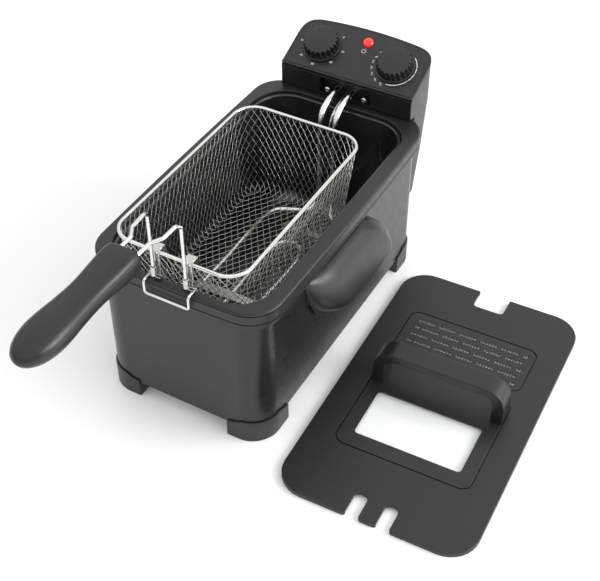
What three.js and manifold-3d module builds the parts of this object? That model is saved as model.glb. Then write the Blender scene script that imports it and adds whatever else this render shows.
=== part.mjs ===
// Household deep fryer: charcoal housing with wrap-round feet, a lift-out oil tank, a lift-off
// control head that carries the heating element, a wire basket hooked on the front rim to drain,
// and the lid lying on the table beside it. Millimetres, +Z up, +X right, +Y towards the head.
import * as THREE from 'three';
import { mergeVertices } from 'three/addons/utils/BufferGeometryUtils.js';
import Module from 'manifold-3d';

const wasm = await Module();
wasm.setup();

// ---------------------------------------------------------------- driving dimensions
const GAP = 0.3;                 // clearance between touching pieces
const THROUGH = 20;              // how far a cutter runs past the face it cuts

const housing = { width: 200, length: 370, bottom: 19, top: 166.5, radius: 30, wall: 1 };
const foot = { front: 44, side: 51, height: 28.7, endHeight: 23.5, proud: 2 };
const collar = {
  width: 215, length: 379, radius: 36, bow: 1.5, bottom: 166.8, groove: 174.5, top: 191,
  lowerInset: 3, mouthWidth: 188, mouthLength: 354, mouthRadius: 42, mouthY: -5,
  ledgeWidth: 182, ledgeLength: 348, ledgeTop: 185.7,
};
const sideHandle = {
  front: -92, rear: 74, reach: 27, bottom: 105, top: 165.3, frontRound: 49, rearRound: 24, undercut: 26, skin: 3,
};
const rail = { x: 55, halfWidth: 6, backY: 196, bottom: 92, top: 160 };
const tank = {
  width: 181, length: 347, radius: 39, floor: 44, top: 187.5, wall: 1,
  flange: 3, flangeThickness: 1.5, bottomScaleX: 0.88, bottomScaleY: 0.93,
};
const head = {
  width: 171, frontY: 180, backY: 249.5, panelFrontZ: 220, slope: 0.437, bottom: 73.5,
  cornerRadius: 24, wall: 2.5, panelThickness: 3, stepY: 191.2, stepZ: 191.6,
};
const knob = { x: 48, along: 36, skirtRadius: 23.5, capRadius: 19.5, height: 15, lift: 0.6, flutes: 22 };
const lamp = { x: 3, along: 57.5, radius: 6.2, height: 4.5 };
const element = { tube: 4, halfSpacing: 9.5, plateY: 189.6, floorZ: 62, halfWidth: 56, frontY: -128 };
const plate = {
  halfWidth: 31, bottom: 194.8, top: 213.8, frontY: 187.6, backY: 189.3, tubeZ: 203.4,
  screwX: 24, screwZ: 198.7, bossRadius: 4.1, bossY: 183,
};
const bulb = { z: 74, radius: 3, frontY: 40, backY: 118 };
const inlet = { halfWidth: 14.5, bottom: 100, top: 120, innerY: 214, outerY: 238 };
const reset = { x: 42, z: 112, radius: 4, innerY: 228, outerY: 239.5 };
const plunger = { x: -55, z: 149, radius: 2.5, innerY: 203 };
const basket = {
  width: 150, frontY: -179.5, backY: 82, rimZ: 222, wire: 2, radius: 25,
  bottomZ: 118, wall: 1, bottomScaleX: 0.86, bottomScaleY: 0.91,
};
const bracket = { halfWidth: 9, sheet: 1.2, frontY: -183.8, bottom: 191.5, innerY: -166, innerBottom: 212 };
const hook = { halfWidth: 26, wire: 1.6, restZ: 193, dropY: -195, bottomZ: 177 };
const grip = { startY: -247, endY: -400, z: 275.5, width: 39, height: 30 };
const handleWire = { radius: 2, gripX: 10, legX: 19, legY: -186.3, footZ: 199, bendZ: 277 };
const lid = {
  x: 233, y: -35.8, turn: 1.98, width: 217, length: 369, radius: 33, top: 6, skin: 2.2, skirt: 2.5,
  notchWidth: 37, notchDepth: 27, slotX: 17, slotWidth: 14.5, slotDepth: 29,
};
const frameRing = { halfWidth: 77, frontY: -104, backY: 31, radius: 12 };
const pane = { halfWidth: 61.5, frontY: -85.5, backY: -18, radius: 5 };
const vent = { halfWidth: 78, frontY: 47.5, backY: 118, radius: 11 };
const ventSlits = { rows: 4, perRow: 5, startX: -65, pitch: 26, length: 20, backY: 105.5, rowPitch: 11.8 };
const lidHandle = {
  halfWidth: 76.5, legThickness: 13, frontY: -5, backY: 23, top: 50, barThickness: 10.5,
  shoulder: 25, innerShoulder: 13, screwX: 70, screwY: 9,
};

// ---------------------------------------------------------------- finishes
const finish = {
  charcoal: new THREE.MeshStandardMaterial({ color: 0x3c3c3c, roughness: 0.42, metalness: 0.1 }),
  plastic: new THREE.MeshStandardMaterial({ color: 0x2f2f2f, roughness: 0.5, metalness: 0 }),
  black: new THREE.MeshStandardMaterial({ color: 0x161616, roughness: 0.45, metalness: 0 }),
  enamel: new THREE.MeshStandardMaterial({ color: 0x121212, roughness: 0.25, metalness: 0.2 }),
  chrome: new THREE.MeshStandardMaterial({ color: 0xd9d9d9, roughness: 0.15, metalness: 1 }),
  steel: new THREE.MeshStandardMaterial({ color: 0xa8a8a8, roughness: 0.35, metalness: 1 }),
  brass: new THREE.MeshStandardMaterial({ color: 0xb58b3a, roughness: 0.35, metalness: 1 }),
  glass: new THREE.MeshStandardMaterial({ color: 0xe8eeee, roughness: 0.05, metalness: 0 }),
  lampRed: new THREE.MeshStandardMaterial({ color: 0xff3a30, roughness: 0.2, metalness: 0 }),
  silicone: new THREE.MeshStandardMaterial({ color: 0x8a8a86, roughness: 0.8, metalness: 0 }),
  fleece: new THREE.MeshStandardMaterial({ color: 0x55524d, roughness: 1, metalness: 0 }),
  ceramic: new THREE.MeshStandardMaterial({ color: 0xd8d4c8, roughness: 0.6, metalness: 0 }),
};

// ---------------------------------------------------------------- solids and booleans
function toSolid(geometry) {
  const bare = geometry.index ? geometry.toNonIndexed() : geometry.clone();
  bare.deleteAttribute('normal');
  bare.deleteAttribute('uv');
  const merged = mergeVertices(bare, 1e-4);
  return new wasm.Manifold(new wasm.Mesh({
    numProp: 3,
    vertProperties: new Float32Array(merged.attributes.position.array),
    triVerts: new Uint32Array(merged.index.array),
  }));
}

function toGeometry(solid) {
  const mesh = solid.getMesh();
  const geometry = new THREE.BufferGeometry();
  geometry.setAttribute('position', new THREE.BufferAttribute(new Float32Array(mesh.vertProperties), 3));
  geometry.setIndex(new THREE.BufferAttribute(new Uint32Array(mesh.triVerts), 1));
  geometry.computeVertexNormals();
  return geometry;
}

function cut(base, ...cutters) {
  return toGeometry(cutters.reduce((solid, cutter) => solid.subtract(toSolid(cutter)), toSolid(base)));
}

function join(base, ...others) {
  return toGeometry(others.reduce((solid, other) => solid.add(toSolid(other)), toSolid(base)));
}

function common(base, ...others) {
  return toGeometry(others.reduce((solid, other) => solid.intersect(toSolid(other)), toSolid(base)));
}

function part(name, geometry, material) {
  const mesh = new THREE.Mesh(geometry, material);
  mesh.name = name;
  return mesh;
}

function collect(...children) {
  const group = new THREE.Group();
  group.add(...children);
  return group;
}

// ---------------------------------------------------------------- shapes
// Rounded rectangle about the origin. Its sides may bow outwards by bow at their middles.
function roundedRect(width, length, radius, bow = 0) {
  const x = width / 2;
  const y = length / 2;
  const shape = new THREE.Shape();
  const side = (midX, midY, endX, endY) => {
    if (bow) shape.quadraticCurveTo(midX, midY, endX, endY);
    else shape.lineTo(endX, endY);
  };
  shape.moveTo(-x + radius, -y);
  side(0, -y - 2 * bow, x - radius, -y);
  shape.absarc(x - radius, -y + radius, radius, -Math.PI / 2, 0);
  side(x + 2 * bow, 0, x, y - radius);
  shape.absarc(x - radius, y - radius, radius, 0, Math.PI / 2);
  side(0, y + 2 * bow, -x + radius, y);
  shape.absarc(-x + radius, y - radius, radius, Math.PI / 2, Math.PI);
  side(-x - 2 * bow, 0, -x, -y + radius);
  shape.absarc(-x + radius, -y + radius, radius, Math.PI, Math.PI * 1.5);
  return shape;
}

// A shape in plan, raised between two heights.
function slab(shape, bottom, top, curveSegments = 6) {
  const geometry = new THREE.ExtrudeGeometry(shape, { depth: top - bottom, bevelEnabled: false, curveSegments });
  return geometry.translate(0, 0, bottom);
}

// A side view given as a shape in (y, z), carried along X between two places.
function alongX(shape, fromX, toX, curveSegments = 6) {
  const geometry = new THREE.ExtrudeGeometry(shape, { depth: toX - fromX, bevelEnabled: false, curveSegments });
  geometry.applyMatrix4(new THREE.Matrix4().makeBasis(
    new THREE.Vector3(0, 1, 0), new THREE.Vector3(0, 0, 1), new THREE.Vector3(1, 0, 0)));
  return geometry.translate(fromX, 0, 0);
}

// A front view given as a shape in (x, z), carried along Y between two places.
function alongY(shape, fromY, toY, curveSegments = 6) {
  const geometry = new THREE.ExtrudeGeometry(shape, { depth: toY - fromY, bevelEnabled: false, curveSegments });
  geometry.rotateX(Math.PI / 2);
  return geometry.translate(0, toY, 0);
}

function box(fromX, toX, fromY, toY, fromZ, toZ) {
  const geometry = new THREE.BoxGeometry(toX - fromX, toY - fromY, toZ - fromZ);
  return geometry.translate((fromX + toX) / 2, (fromY + toY) / 2, (fromZ + toZ) / 2);
}

// An upright cylinder standing at (x, y) between two heights.
function post(x, y, radius, bottom, top, sides = 16) {
  const geometry = new THREE.CylinderGeometry(radius, radius, top - bottom, sides);
  geometry.rotateX(Math.PI / 2);
  return geometry.translate(x, y, (bottom + top) / 2);
}

// Shrinks a geometry towards its foot: full size at top, scaleX by scaleY at bottom.
function taper(geometry, bottom, top, scaleX, scaleY) {
  const position = geometry.attributes.position;
  for (let i = 0; i < position.count; i += 1) {
    const share = (top - position.getZ(i)) / (top - bottom);
    position.setX(i, position.getX(i) * (1 + (scaleX - 1) * share));
    position.setY(i, position.getY(i) * (1 + (scaleY - 1) * share));
  }
  return geometry;
}

// A cylinder lying along Y through (x, z), between two places.
function rod(x, z, radius, fromY, toY, sides = 16) {
  return new THREE.CylinderGeometry(radius, radius, toY - fromY, sides).translate(x, (fromY + toY) / 2, z);
}

// Round wire of the given radius through a list of points, with its ends closed.
function wire(points, radius, steps, sides = 8) {
  const path = new THREE.CatmullRomCurve3(points.map((p) => new THREE.Vector3(...p)), false, 'centripetal');
  const section = new THREE.Shape();
  section.absarc(0, 0, radius, 0, Math.PI * 2);
  return new THREE.ExtrudeGeometry(section, { steps, extrudePath: path, curveSegments: sides / 2 });
}

// Turns a geometry into its mirror image, with its faces still pointing out.
function reflect(geometry, signX, signY) {
  const plain = (geometry.index ? geometry.toNonIndexed() : geometry.clone()).scale(signX, signY, 1);
  if (signX * signY > 0) return plain;
  const position = plain.attributes.position;
  for (let i = 0; i < position.count; i += 3) {
    const second = new THREE.Vector3().fromBufferAttribute(position, i + 1);
    const third = new THREE.Vector3().fromBufferAttribute(position, i + 2);
    position.setXYZ(i + 1, third.x, third.y, third.z);
    position.setXYZ(i + 2, second.x, second.y, second.z);
  }
  return plain;
}

// ---------------------------------------------------------------- housing
function housingShell() {
  const inner = roundedRect(
    housing.width - 2 * housing.wall, housing.length - 2 * housing.wall, housing.radius - housing.wall);
  return cut(
    slab(roundedRect(housing.width, housing.length, housing.radius), housing.bottom + 0.2, housing.top),
    slab(inner, housing.bottom - THROUGH, housing.top + THROUGH));
}

function basePlate() {
  const inset = housing.wall + GAP;
  const outline = roundedRect(housing.width - 2 * inset, housing.length - 2 * inset, housing.radius - inset);
  return slab(outline, housing.bottom + 0.2, housing.bottom + 1.2);
}

// Side of a foot seen square on: full height at the corner, falling in an S curve to its end.
function footElevation(reach, corner) {
  const shape = new THREE.Shape();
  shape.moveTo(0, 0);
  shape.lineTo(reach, 0);
  shape.lineTo(reach, foot.endHeight - 3.5);
  shape.quadraticCurveTo(reach, foot.endHeight, reach - 4, foot.endHeight + 0.3);
  shape.bezierCurveTo(reach - 12, foot.endHeight + 1, reach - 14, foot.height, corner, foot.height);
  shape.lineTo(0, foot.height);
  return shape;
}

function footSolid(signX, signY) {
  const x = housing.width / 2 + foot.proud;
  const y = housing.length / 2 + foot.proud;
  const front = alongY(footElevation(foot.front + foot.proud, 14), -THROUGH, foot.side + THROUGH);
  const side = alongX(footElevation(foot.side + foot.proud, 14), -THROUGH, foot.front + THROUGH);
  const corner = reflect(common(front, side).translate(-x, -y, 0), -signX, -signY);
  const outline = slab(roundedRect(2 * x, 2 * y, housing.radius + foot.proud), 0, foot.height);
  const recess = roundedRect(housing.width + 2 * GAP, housing.length + 2 * GAP, housing.radius + GAP);
  return cut(common(corner, outline), slab(recess, housing.bottom - GAP, foot.height + THROUGH));
}

function collarSolid() {
  const upper = slab(roundedRect(collar.width, collar.length, collar.radius, collar.bow), collar.groove, collar.top);
  const lower = slab(
    roundedRect(
      collar.width - 2 * collar.lowerInset, collar.length - 2 * collar.lowerInset,
      collar.radius - collar.lowerInset, collar.bow),
    collar.bottom, collar.groove);
  const mouth = slab(
    roundedRect(collar.mouthWidth, collar.mouthLength, collar.mouthRadius), collar.ledgeTop, collar.top + THROUGH)
    .translate(0, collar.mouthY, 0);
  const throat = slab(
    roundedRect(collar.ledgeWidth, collar.ledgeLength, collar.mouthRadius - 3), collar.bottom - THROUGH, collar.top)
    .translate(0, collar.mouthY, 0);
  return cut(join(upper, lower), mouth, throat);
}

// Hood shaped carrying grip on the right-hand wall, hollow and open underneath for the fingers.
// Its nose is undercut in front, and its top falls away in a wide round at the rear.
function gripHood(shrink) {
  const wallX = housing.width / 2 + GAP + (shrink ? sideHandle.skin : 0);
  const reachX = housing.width / 2 + sideHandle.reach - shrink;
  const front = sideHandle.front + shrink;
  const rear = sideHandle.rear - shrink;
  const top = sideHandle.top - shrink;
  const low = sideHandle.bottom - (shrink ? THROUGH : 0);
  const profile = new THREE.Shape();
  profile.moveTo(wallX, low);
  profile.lineTo(reachX - 1, low);
  profile.bezierCurveTo(reachX + 1, low + 20 + shrink, reachX - 4, top - 18, reachX - 16, top - 6);
  profile.quadraticCurveTo(reachX - 20, top - 2, wallX, top);
  profile.closePath();
  const plan = new THREE.Shape();
  const reach = reachX - wallX;
  plan.moveTo(wallX, front);
  plan.absellipse(wallX, front + sideHandle.frontRound, reach, sideHandle.frontRound, -Math.PI / 2, 0);
  plan.absellipse(wallX, rear - sideHandle.rearRound, reach, sideHandle.rearRound, 0, Math.PI / 2);
  plan.closePath();
  const endView = new THREE.Shape();
  endView.moveTo(front + sideHandle.undercut, low);
  endView.lineTo(rear, low);
  endView.lineTo(rear, 116);
  endView.bezierCurveTo(rear, top - 24, rear - 18, top, rear - 47, top);
  endView.lineTo(front + 14, top);
  endView.quadraticCurveTo(front, top, front, top - 16);
  endView.quadraticCurveTo(front, sideHandle.bottom + 12, front + sideHandle.undercut, sideHandle.bottom);
  endView.closePath();
  return common(
    alongY(profile, front - THROUGH, rear + THROUGH, 4),
    slab(plan, low, top, 5),
    alongX(endView, wallX, reachX + THROUGH, 5));
}

// Hooked tip that the back of the grip leaves below its front end, against the wall.
function gripClaw() {
  const claw = new THREE.Shape();
  claw.moveTo(-80, 130);
  claw.quadraticCurveTo(-82, 112, -64, 95);
  claw.quadraticCurveTo(-68.5, 106, -66, 130);
  claw.closePath();
  return alongX(claw, housing.width / 2 + GAP, housing.width / 2 + 4, 4);
}

function sideHandleSolid(sign) {
  return reflect(join(cut(gripHood(0), gripHood(sideHandle.skin)), gripClaw()), sign, 1);
}

// Upright rail on the back wall that runs in a slot of the control head.
function guideRail(sign) {
  const x = sign * rail.x;
  const wallY = housing.length / 2 + GAP;
  return box(x - rail.halfWidth, x + rail.halfWidth, wallY, rail.backY, rail.bottom, rail.top);
}

function housingGroup() {
  const corners = [['front_left', -1, -1], ['front_right', 1, -1], ['rear_left', -1, 1], ['rear_right', 1, 1]];
  return collect(
    part('housing_shell', housingShell(), finish.charcoal),
    part('base_plate', basePlate(), finish.steel),
    part('collar', collarSolid(), finish.plastic),
    ...corners.map(([name, x, y]) => part(`foot_${name}`, footSolid(x, y), finish.plastic)),
    part('side_handle_left', sideHandleSolid(-1), finish.plastic),
    part('side_handle_right', sideHandleSolid(1), finish.plastic),
    part('guide_rail_left', guideRail(-1), finish.black),
    part('guide_rail_right', guideRail(1), finish.black));
}

// ---------------------------------------------------------------- oil tank
function tankSolid() {
  const height = tank.top - tank.floor;
  const innerTop = tank.top + 4;
  const wallOutline = roundedRect(tank.width, tank.length, tank.radius);
  const outer = taper(slab(wallOutline, tank.floor, tank.top), tank.floor, tank.top,
    tank.bottomScaleX, tank.bottomScaleY);
  const bore = roundedRect(tank.width - 2 * tank.wall, tank.length - 2 * tank.wall, tank.radius - tank.wall);
  const inner = taper(slab(bore, tank.floor + tank.wall, innerTop), tank.floor, tank.floor + height,
    tank.bottomScaleX, tank.bottomScaleY);
  const flange = slab(
    roundedRect(tank.width + 2 * tank.flange, tank.length + 2 * tank.flange, tank.radius + tank.flange),
    tank.top - tank.flangeThickness, tank.top);
  return cut(join(outer, flange), inner).translate(0, collar.mouthY, 0);
}

// ---------------------------------------------------------------- control head
const panelSlopeAngle = Math.atan(head.slope);
const panelHeightAt = (y) => head.panelFrontZ + (y - head.frontY) * head.slope;

// Matrix of the control panel's face: x across, y up its slope, z straight out of it.
function panelFrame(across, along, out) {
  const tilt = new THREE.Matrix4().makeRotationX(panelSlopeAngle);
  const base = new THREE.Matrix4().makeTranslation(0, head.frontY, head.panelFrontZ);
  return base.multiply(tilt).multiply(new THREE.Matrix4().makeTranslation(across, along, out));
}

// Side view of the head: overhanging nose above the rim, back tapering down to a narrow foot.
function headProfile(inset) {
  const back = head.backY - inset;
  const nose = head.frontY + inset;
  const drop = (inset + (inset ? GAP : 0)) / Math.cos(panelSlopeAngle);
  const shape = new THREE.Shape();
  shape.moveTo(nose, head.stepZ + inset);
  shape.lineTo(head.stepY + inset, head.stepZ + inset);
  shape.lineTo(head.stepY + inset, head.bottom + inset);
  shape.lineTo(back - 30, head.bottom + inset);
  shape.quadraticCurveTo(back - 26, head.bottom + inset, back - 24, head.bottom + 8);
  shape.quadraticCurveTo(back - 2, 130, back, 195);
  shape.lineTo(back, panelHeightAt(back) - drop);
  shape.lineTo(nose, panelHeightAt(nose) - drop);
  return shape;
}

// Head seen from above: square in front, generously rounded at the two rear corners.
function headPlan(inset) {
  const x = head.width / 2 - inset;
  const back = head.backY - inset;
  const radius = head.cornerRadius - inset;
  const shape = new THREE.Shape();
  shape.moveTo(-x, head.frontY + inset);
  shape.lineTo(x, head.frontY + inset);
  shape.lineTo(x, back - radius - 4);
  shape.bezierCurveTo(x, back - 8, x - 10, back - 4, x - radius - 2, back - 3);
  shape.quadraticCurveTo(0, back + 3, -x + radius + 2, back - 3);
  shape.bezierCurveTo(-x + 10, back - 4, -x, back - 8, -x, back - radius - 4);
  return shape;
}

function headBlock(inset) {
  const half = head.width / 2 - inset;
  return common(
    alongX(headProfile(inset), -half, half, 8),
    slab(headPlan(inset), head.bottom - THROUGH, panelHeightAt(head.backY) + THROUGH, 6));
}

// Slice of the head between two depths below the panel's face.
function belowPanel(fromDepth, toDepth) {
  const reach = 200;
  return new THREE.BoxGeometry(reach, reach, toDepth - fromDepth)
    .applyMatrix4(panelFrame(0, reach / 4, -(fromDepth + toDepth) / 2));
}

function headShell() {
  const lidDepth = head.panelThickness + GAP;
  const recess = box(-33, 33, head.frontY - 1, element.plateY, head.stepZ + 2.6, 214.5);
  const tubeWay = box(-20, 20, element.plateY - 2, element.plateY + 6, 197, 213);
  const inletWay = box(
    -inlet.halfWidth - GAP, inlet.halfWidth + GAP, inlet.innerY, head.backY + THROUGH,
    inlet.bottom - GAP, inlet.top + GAP);
  const resetWay = rod(reset.x, reset.z, reset.radius + 0.4, reset.innerY, head.backY + THROUGH);
  const railWays = [-1, 1].map((sign) => box(
    sign * rail.x - rail.halfWidth - 0.6, sign * rail.x + rail.halfWidth + 0.6,
    head.stepY - 1, rail.backY + 1.6, head.bottom - 1, rail.top + 6));
  const screwWays = [-1, 1].map((sign) => rod(sign * plate.screwX, plate.screwZ, 1.9, head.frontY, 200));
  const backing = box(-36, 36, head.frontY + 1, element.plateY + head.wall, head.stepZ + 0.1, 217);
  const open = cut(headBlock(0), belowPanel(-THROUGH, lidDepth), headBlock(head.wall));
  const withPocket = join(open, common(backing, headBlock(0.05), belowPanel(lidDepth + 1, 80)));
  return cut(withPocket, recess, tubeWay, inletWay, resetWay, ...railWays, ...screwWays);
}

// Upright cylinder about an axis square to the panel, between two heights above its face.
function panelPost(across, along, radius, from, to, sides = 20) {
  return post(0, 0, radius, from, to, sides).applyMatrix4(panelFrame(across, along, 0));
}

function controlPanel() {
  const plateSolid = common(headBlock(0), belowPanel(-1, head.panelThickness));
  const shaftWays = [-1, 1].map((sign) => panelPost(sign * knob.x, knob.along, 3.6, -10, 10));
  return cut(plateSolid, ...shaftWays, panelPost(lamp.x, lamp.along, lamp.radius + GAP, -10, 10));
}

// Sheet behind the recess, with a short boss under each screw.
function mountPlate() {
  const sheet = box(-plate.halfWidth, plate.halfWidth, plate.frontY, plate.backY, plate.bottom, plate.top);
  const bosses = [-1, 1].map((sign) => rod(
    sign * plate.screwX, plate.screwZ, plate.bossRadius, plate.bossY, plate.frontY + 1));
  const tubeWays = [-1, 1].map((sign) => rod(sign * element.halfSpacing, plate.tubeZ, element.tube + 0.6, 170, 200));
  const screwWays = [-1, 1].map((sign) => rod(sign * plate.screwX, plate.screwZ, 1.9, 170, 200));
  return cut(join(sheet, ...bosses), ...tubeWays, ...screwWays, rod(0, plate.tubeZ - 4, 1.6, 170, 200));
}

// Pan head screw pointing along +Y, with its head just clear of its boss.
function mountScrew(sign) {
  const headFront = plate.bossY - 2;
  const profile = [[0, 0], [2.2, 0.1], [3.6, 1], [3.6, 1.8], [1.6, 1.8], [1.6, 10.5], [0, 10.5]];
  const geometry = new THREE.LatheGeometry(profile.map(([r, y]) => new THREE.Vector2(r, y)), 14);
  return geometry.translate(sign * plate.screwX, headFront, plate.screwZ);
}

// One continuous sheathed tube: out over the rim, down, and in two hairpins across the tank floor.
function heatingElement() {
  const { halfSpacing: x, floorZ: z, halfWidth: w, frontY: f } = element;
  const half = [
    [x, 196, 203], [x, 186, 203.7], [x, 172, 204.5], [x, 158, 202.3], [x, 146, 197], [x, 139, 187], [x, 137, 172],
    [x, 137, 130], [x, 137, 88], [x + 1, 133, 71], [x + 6, 122, z], [x + 24, 112, z], [w - 6, 102, z],
    [w, 84, z], [w, 0, z], [w, f + 28, z], [w - 8, f + 4, z], [w - 20, f, z], [w - 32, f + 4, z],
    [w - 38, f + 28, z], [w - 38, -40, z], [w - 38, 36, z], [w - 44, 52, z],
  ];
  const otherHalf = half.map(([px, py, pz]) => [-px, py, pz]).reverse();
  return wire([...half, [0, 58, z], ...otherHalf], element.tube, 96);
}

function capillaryTube() {
  const z = plate.tubeZ - 4;
  return wire([
    [0, 196, z], [0, 184, z], [0, 166, z - 3], [0, 152, z - 8], [0, 144, z - 18], [0, 141, z - 40],
    [0, 141, 100], [0, 138, 82], [0, 130, bulb.z], [0, bulb.backY + GAP, bulb.z],
  ], 1, 26, 6);
}

function thermostatBulb() {
  return rod(0, bulb.z, bulb.radius, bulb.frontY, bulb.backY);
}

// Strip laid over the two inner element runs, with a saddle that holds the bulb down.
function bulbClip() {
  const y = 78;
  const low = element.floorZ + element.tube + GAP;
  const saddleTop = bulb.z + bulb.radius + 2;
  const strip = box(-24, 24, y - 4, y + 4, low, low + 1.4);
  const saddle = box(-6, 6, y - 3, y + 3, low, saddleTop);
  return cut(join(strip, saddle), rod(0, bulb.z, bulb.radius + 0.4, y - 10, y + 10));
}

function elementBrace() {
  const low = element.floorZ + element.tube + GAP;
  return box(-element.halfWidth - 5, element.halfWidth + 5, -66, -54, low, low + 1.4);
}

// Rotary unit hung under the panel, with its shaft standing up through it.
function rotaryUnit(sign, size, depth) {
  const top = -head.panelThickness - 0.8;
  const body = new THREE.BoxGeometry(size, size, depth).translate(0, 0, top - depth / 2);
  const shaft = post(0, 0, 3, top - 1, knob.height - 7, 14);
  return join(body, shaft).applyMatrix4(panelFrame(sign * knob.x, knob.along, 0));
}

// Star shaped outline whose points are the ridges of a fluted edge.
function flutedShape(radius, depth, flutes) {
  const shape = new THREE.Shape();
  const steps = flutes * 2;
  for (let i = 0; i < steps; i += 1) {
    const angle = (i / steps) * Math.PI * 2;
    const r = i % 2 ? radius - depth : radius;
    const x = Math.cos(angle) * r;
    const y = Math.sin(angle) * r;
    if (i === 0) shape.moveTo(x, y);
    else shape.lineTo(x, y);
  }
  shape.closePath();
  return shape;
}

// Fluted skirt narrowing upwards, closed by a shallow dome, with a blind bore for the shaft.
function knobSolid(sign) {
  const shoulder = knob.height - 3;
  const ratio = knob.skirtRadius / knob.capRadius;
  const skirt = taper(
    slab(flutedShape(knob.capRadius, 0.9, knob.flutes), knob.lift, shoulder), knob.lift, shoulder, ratio, ratio);
  const rim = knob.capRadius;
  const crown = new THREE.SplineCurve([
    new THREE.Vector2(rim + 0.2, shoulder - 1.5), new THREE.Vector2(rim - 0.6, shoulder + 1),
    new THREE.Vector2(rim * 0.6, knob.height - 0.5), new THREE.Vector2(0, knob.height),
  ]).getPoints(4);
  const dome = new THREE.LatheGeometry([new THREE.Vector2(0, shoulder - 1.5), ...crown], 24).rotateX(Math.PI / 2);
  const bore = post(0, 0, 3.3, -5, knob.height - 6, 14);
  return cut(join(skirt, dome), bore).applyMatrix4(panelFrame(sign * knob.x, knob.along, 0));
}

function lampLens() {
  const r = lamp.radius;
  const profile = [[0, -2.6], [r, -2.6], [r, 0.6], [r * 0.92, 2.4], [r * 0.6, lamp.height - 0.5], [0, lamp.height]];
  return new THREE.LatheGeometry(profile.map(([x, y]) => new THREE.Vector2(x, y)), 20)
    .rotateX(Math.PI / 2).applyMatrix4(panelFrame(lamp.x, lamp.along, 0));
}

function lampHolder() {
  return panelPost(lamp.x, lamp.along, lamp.radius - 0.7, -16, -3);
}

function thermalCutout() {
  return join(
    rod(reset.x, reset.z, 10, reset.innerY - 12, reset.innerY - 4),
    rod(reset.x, reset.z, 3, reset.innerY - 5, reset.innerY - 2.6));
}

function resetButton() {
  return rod(reset.x, reset.z, reset.radius, reset.innerY, reset.outerY);
}

// Recessed mains inlet set in the back wall, open towards the rear.
function powerInlet() {
  const body = box(-inlet.halfWidth, inlet.halfWidth, inlet.innerY, inlet.outerY, inlet.bottom, inlet.top);
  const socket = box(-inlet.halfWidth + 2.4, inlet.halfWidth - 2.4, inlet.innerY + 4, inlet.outerY + 5,
    inlet.bottom + 2.4, inlet.top - 2.4);
  return cut(body, socket);
}

function inletPin(x) {
  const z = (inlet.bottom + inlet.top) / 2;
  return box(x - 1.1, x + 1.1, inlet.innerY + 4 + GAP, inlet.outerY - 4, z - 2.4, z + 2.4);
}

function switchPlunger() {
  return rod(plunger.x, plunger.z, plunger.radius, rail.backY + GAP, plunger.innerY);
}

function safetySwitch() {
  return box(plunger.x - 12, plunger.x + 12, plunger.innerY + 2.6, plunger.innerY + 18, plunger.z - 9, plunger.z + 9);
}

function headGroup() {
  return collect(
    part('head_shell', headShell(), finish.black),
    part('control_panel', controlPanel(), finish.plastic),
    part('element_mount_plate', mountPlate(), finish.black),
    part('mount_screw_left', mountScrew(-1), finish.chrome),
    part('mount_screw_right', mountScrew(1), finish.chrome),
    part('heating_element', heatingElement(), finish.chrome),
    part('element_brace', elementBrace(), finish.steel),
    part('bulb_clip', bulbClip(), finish.steel),
    part('thermostat_bulb', thermostatBulb(), finish.steel),
    part('capillary_tube', capillaryTube(), finish.steel),
    part('timer_unit', rotaryUnit(-1, 34, 24), finish.steel),
    part('thermostat_unit', rotaryUnit(1, 32, 20), finish.steel),
    part('lamp_lens', lampLens(), finish.lampRed),
    part('lamp_holder', lampHolder(), finish.ceramic),
    part('terminal_block', box(-22, 22, 212, 226, 140, 156), finish.ceramic),
    part('thermal_cutout', thermalCutout(), finish.ceramic),
    part('safety_switch', safetySwitch(), finish.black),
    part('power_inlet', powerInlet(), finish.black),
    part('inlet_pin_left', inletPin(-6.5), finish.brass),
    part('inlet_pin_right', inletPin(6.5), finish.brass),
    part('timer_knob', knobSolid(-1), finish.black),
    part('thermostat_knob', knobSolid(1), finish.black),
    part('reset_button', resetButton(), finish.lampRed),
    part('switch_plunger', switchPlunger(), finish.ceramic));
}

// ---------------------------------------------------------------- basket
const basketLength = basket.backY - basket.frontY;
const basketY = (basket.backY + basket.frontY) / 2;

// Closed ring of round wire that follows a rounded rectangle.
function wireLoop(width, length, radius, thickness) {
  const points = roundedRect(width, length, radius).getPoints(5).slice(0, -1);
  const path = new THREE.CatmullRomCurve3(points.map((p) => new THREE.Vector3(p.x, p.y, 0)), true, 'centripetal');
  return new THREE.TubeGeometry(path, 48, thickness, 6, true);
}

function basketRim() {
  return wireLoop(basket.width, basketLength, basket.radius, basket.wire).translate(0, basketY, basket.rimZ);
}

// The woven basket as a thin open tray with walls that lean in towards the floor.
function basketMesh() {
  const top = basket.rimZ - basket.wire - GAP;
  const outer = taper(slab(roundedRect(basket.width, basketLength, basket.radius, 0), basket.bottomZ, top, 4),
    basket.bottomZ, top, basket.bottomScaleX, basket.bottomScaleY);
  const bore = roundedRect(basket.width - 2 * basket.wall, basketLength - 2 * basket.wall, basket.radius - 1);
  const inner = taper(slab(bore, basket.bottomZ + basket.wall, top + 5, 4),
    basket.bottomZ, top, basket.bottomScaleX, basket.bottomScaleY);
  return cut(outer, inner).translate(0, basketY, 0);
}

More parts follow.
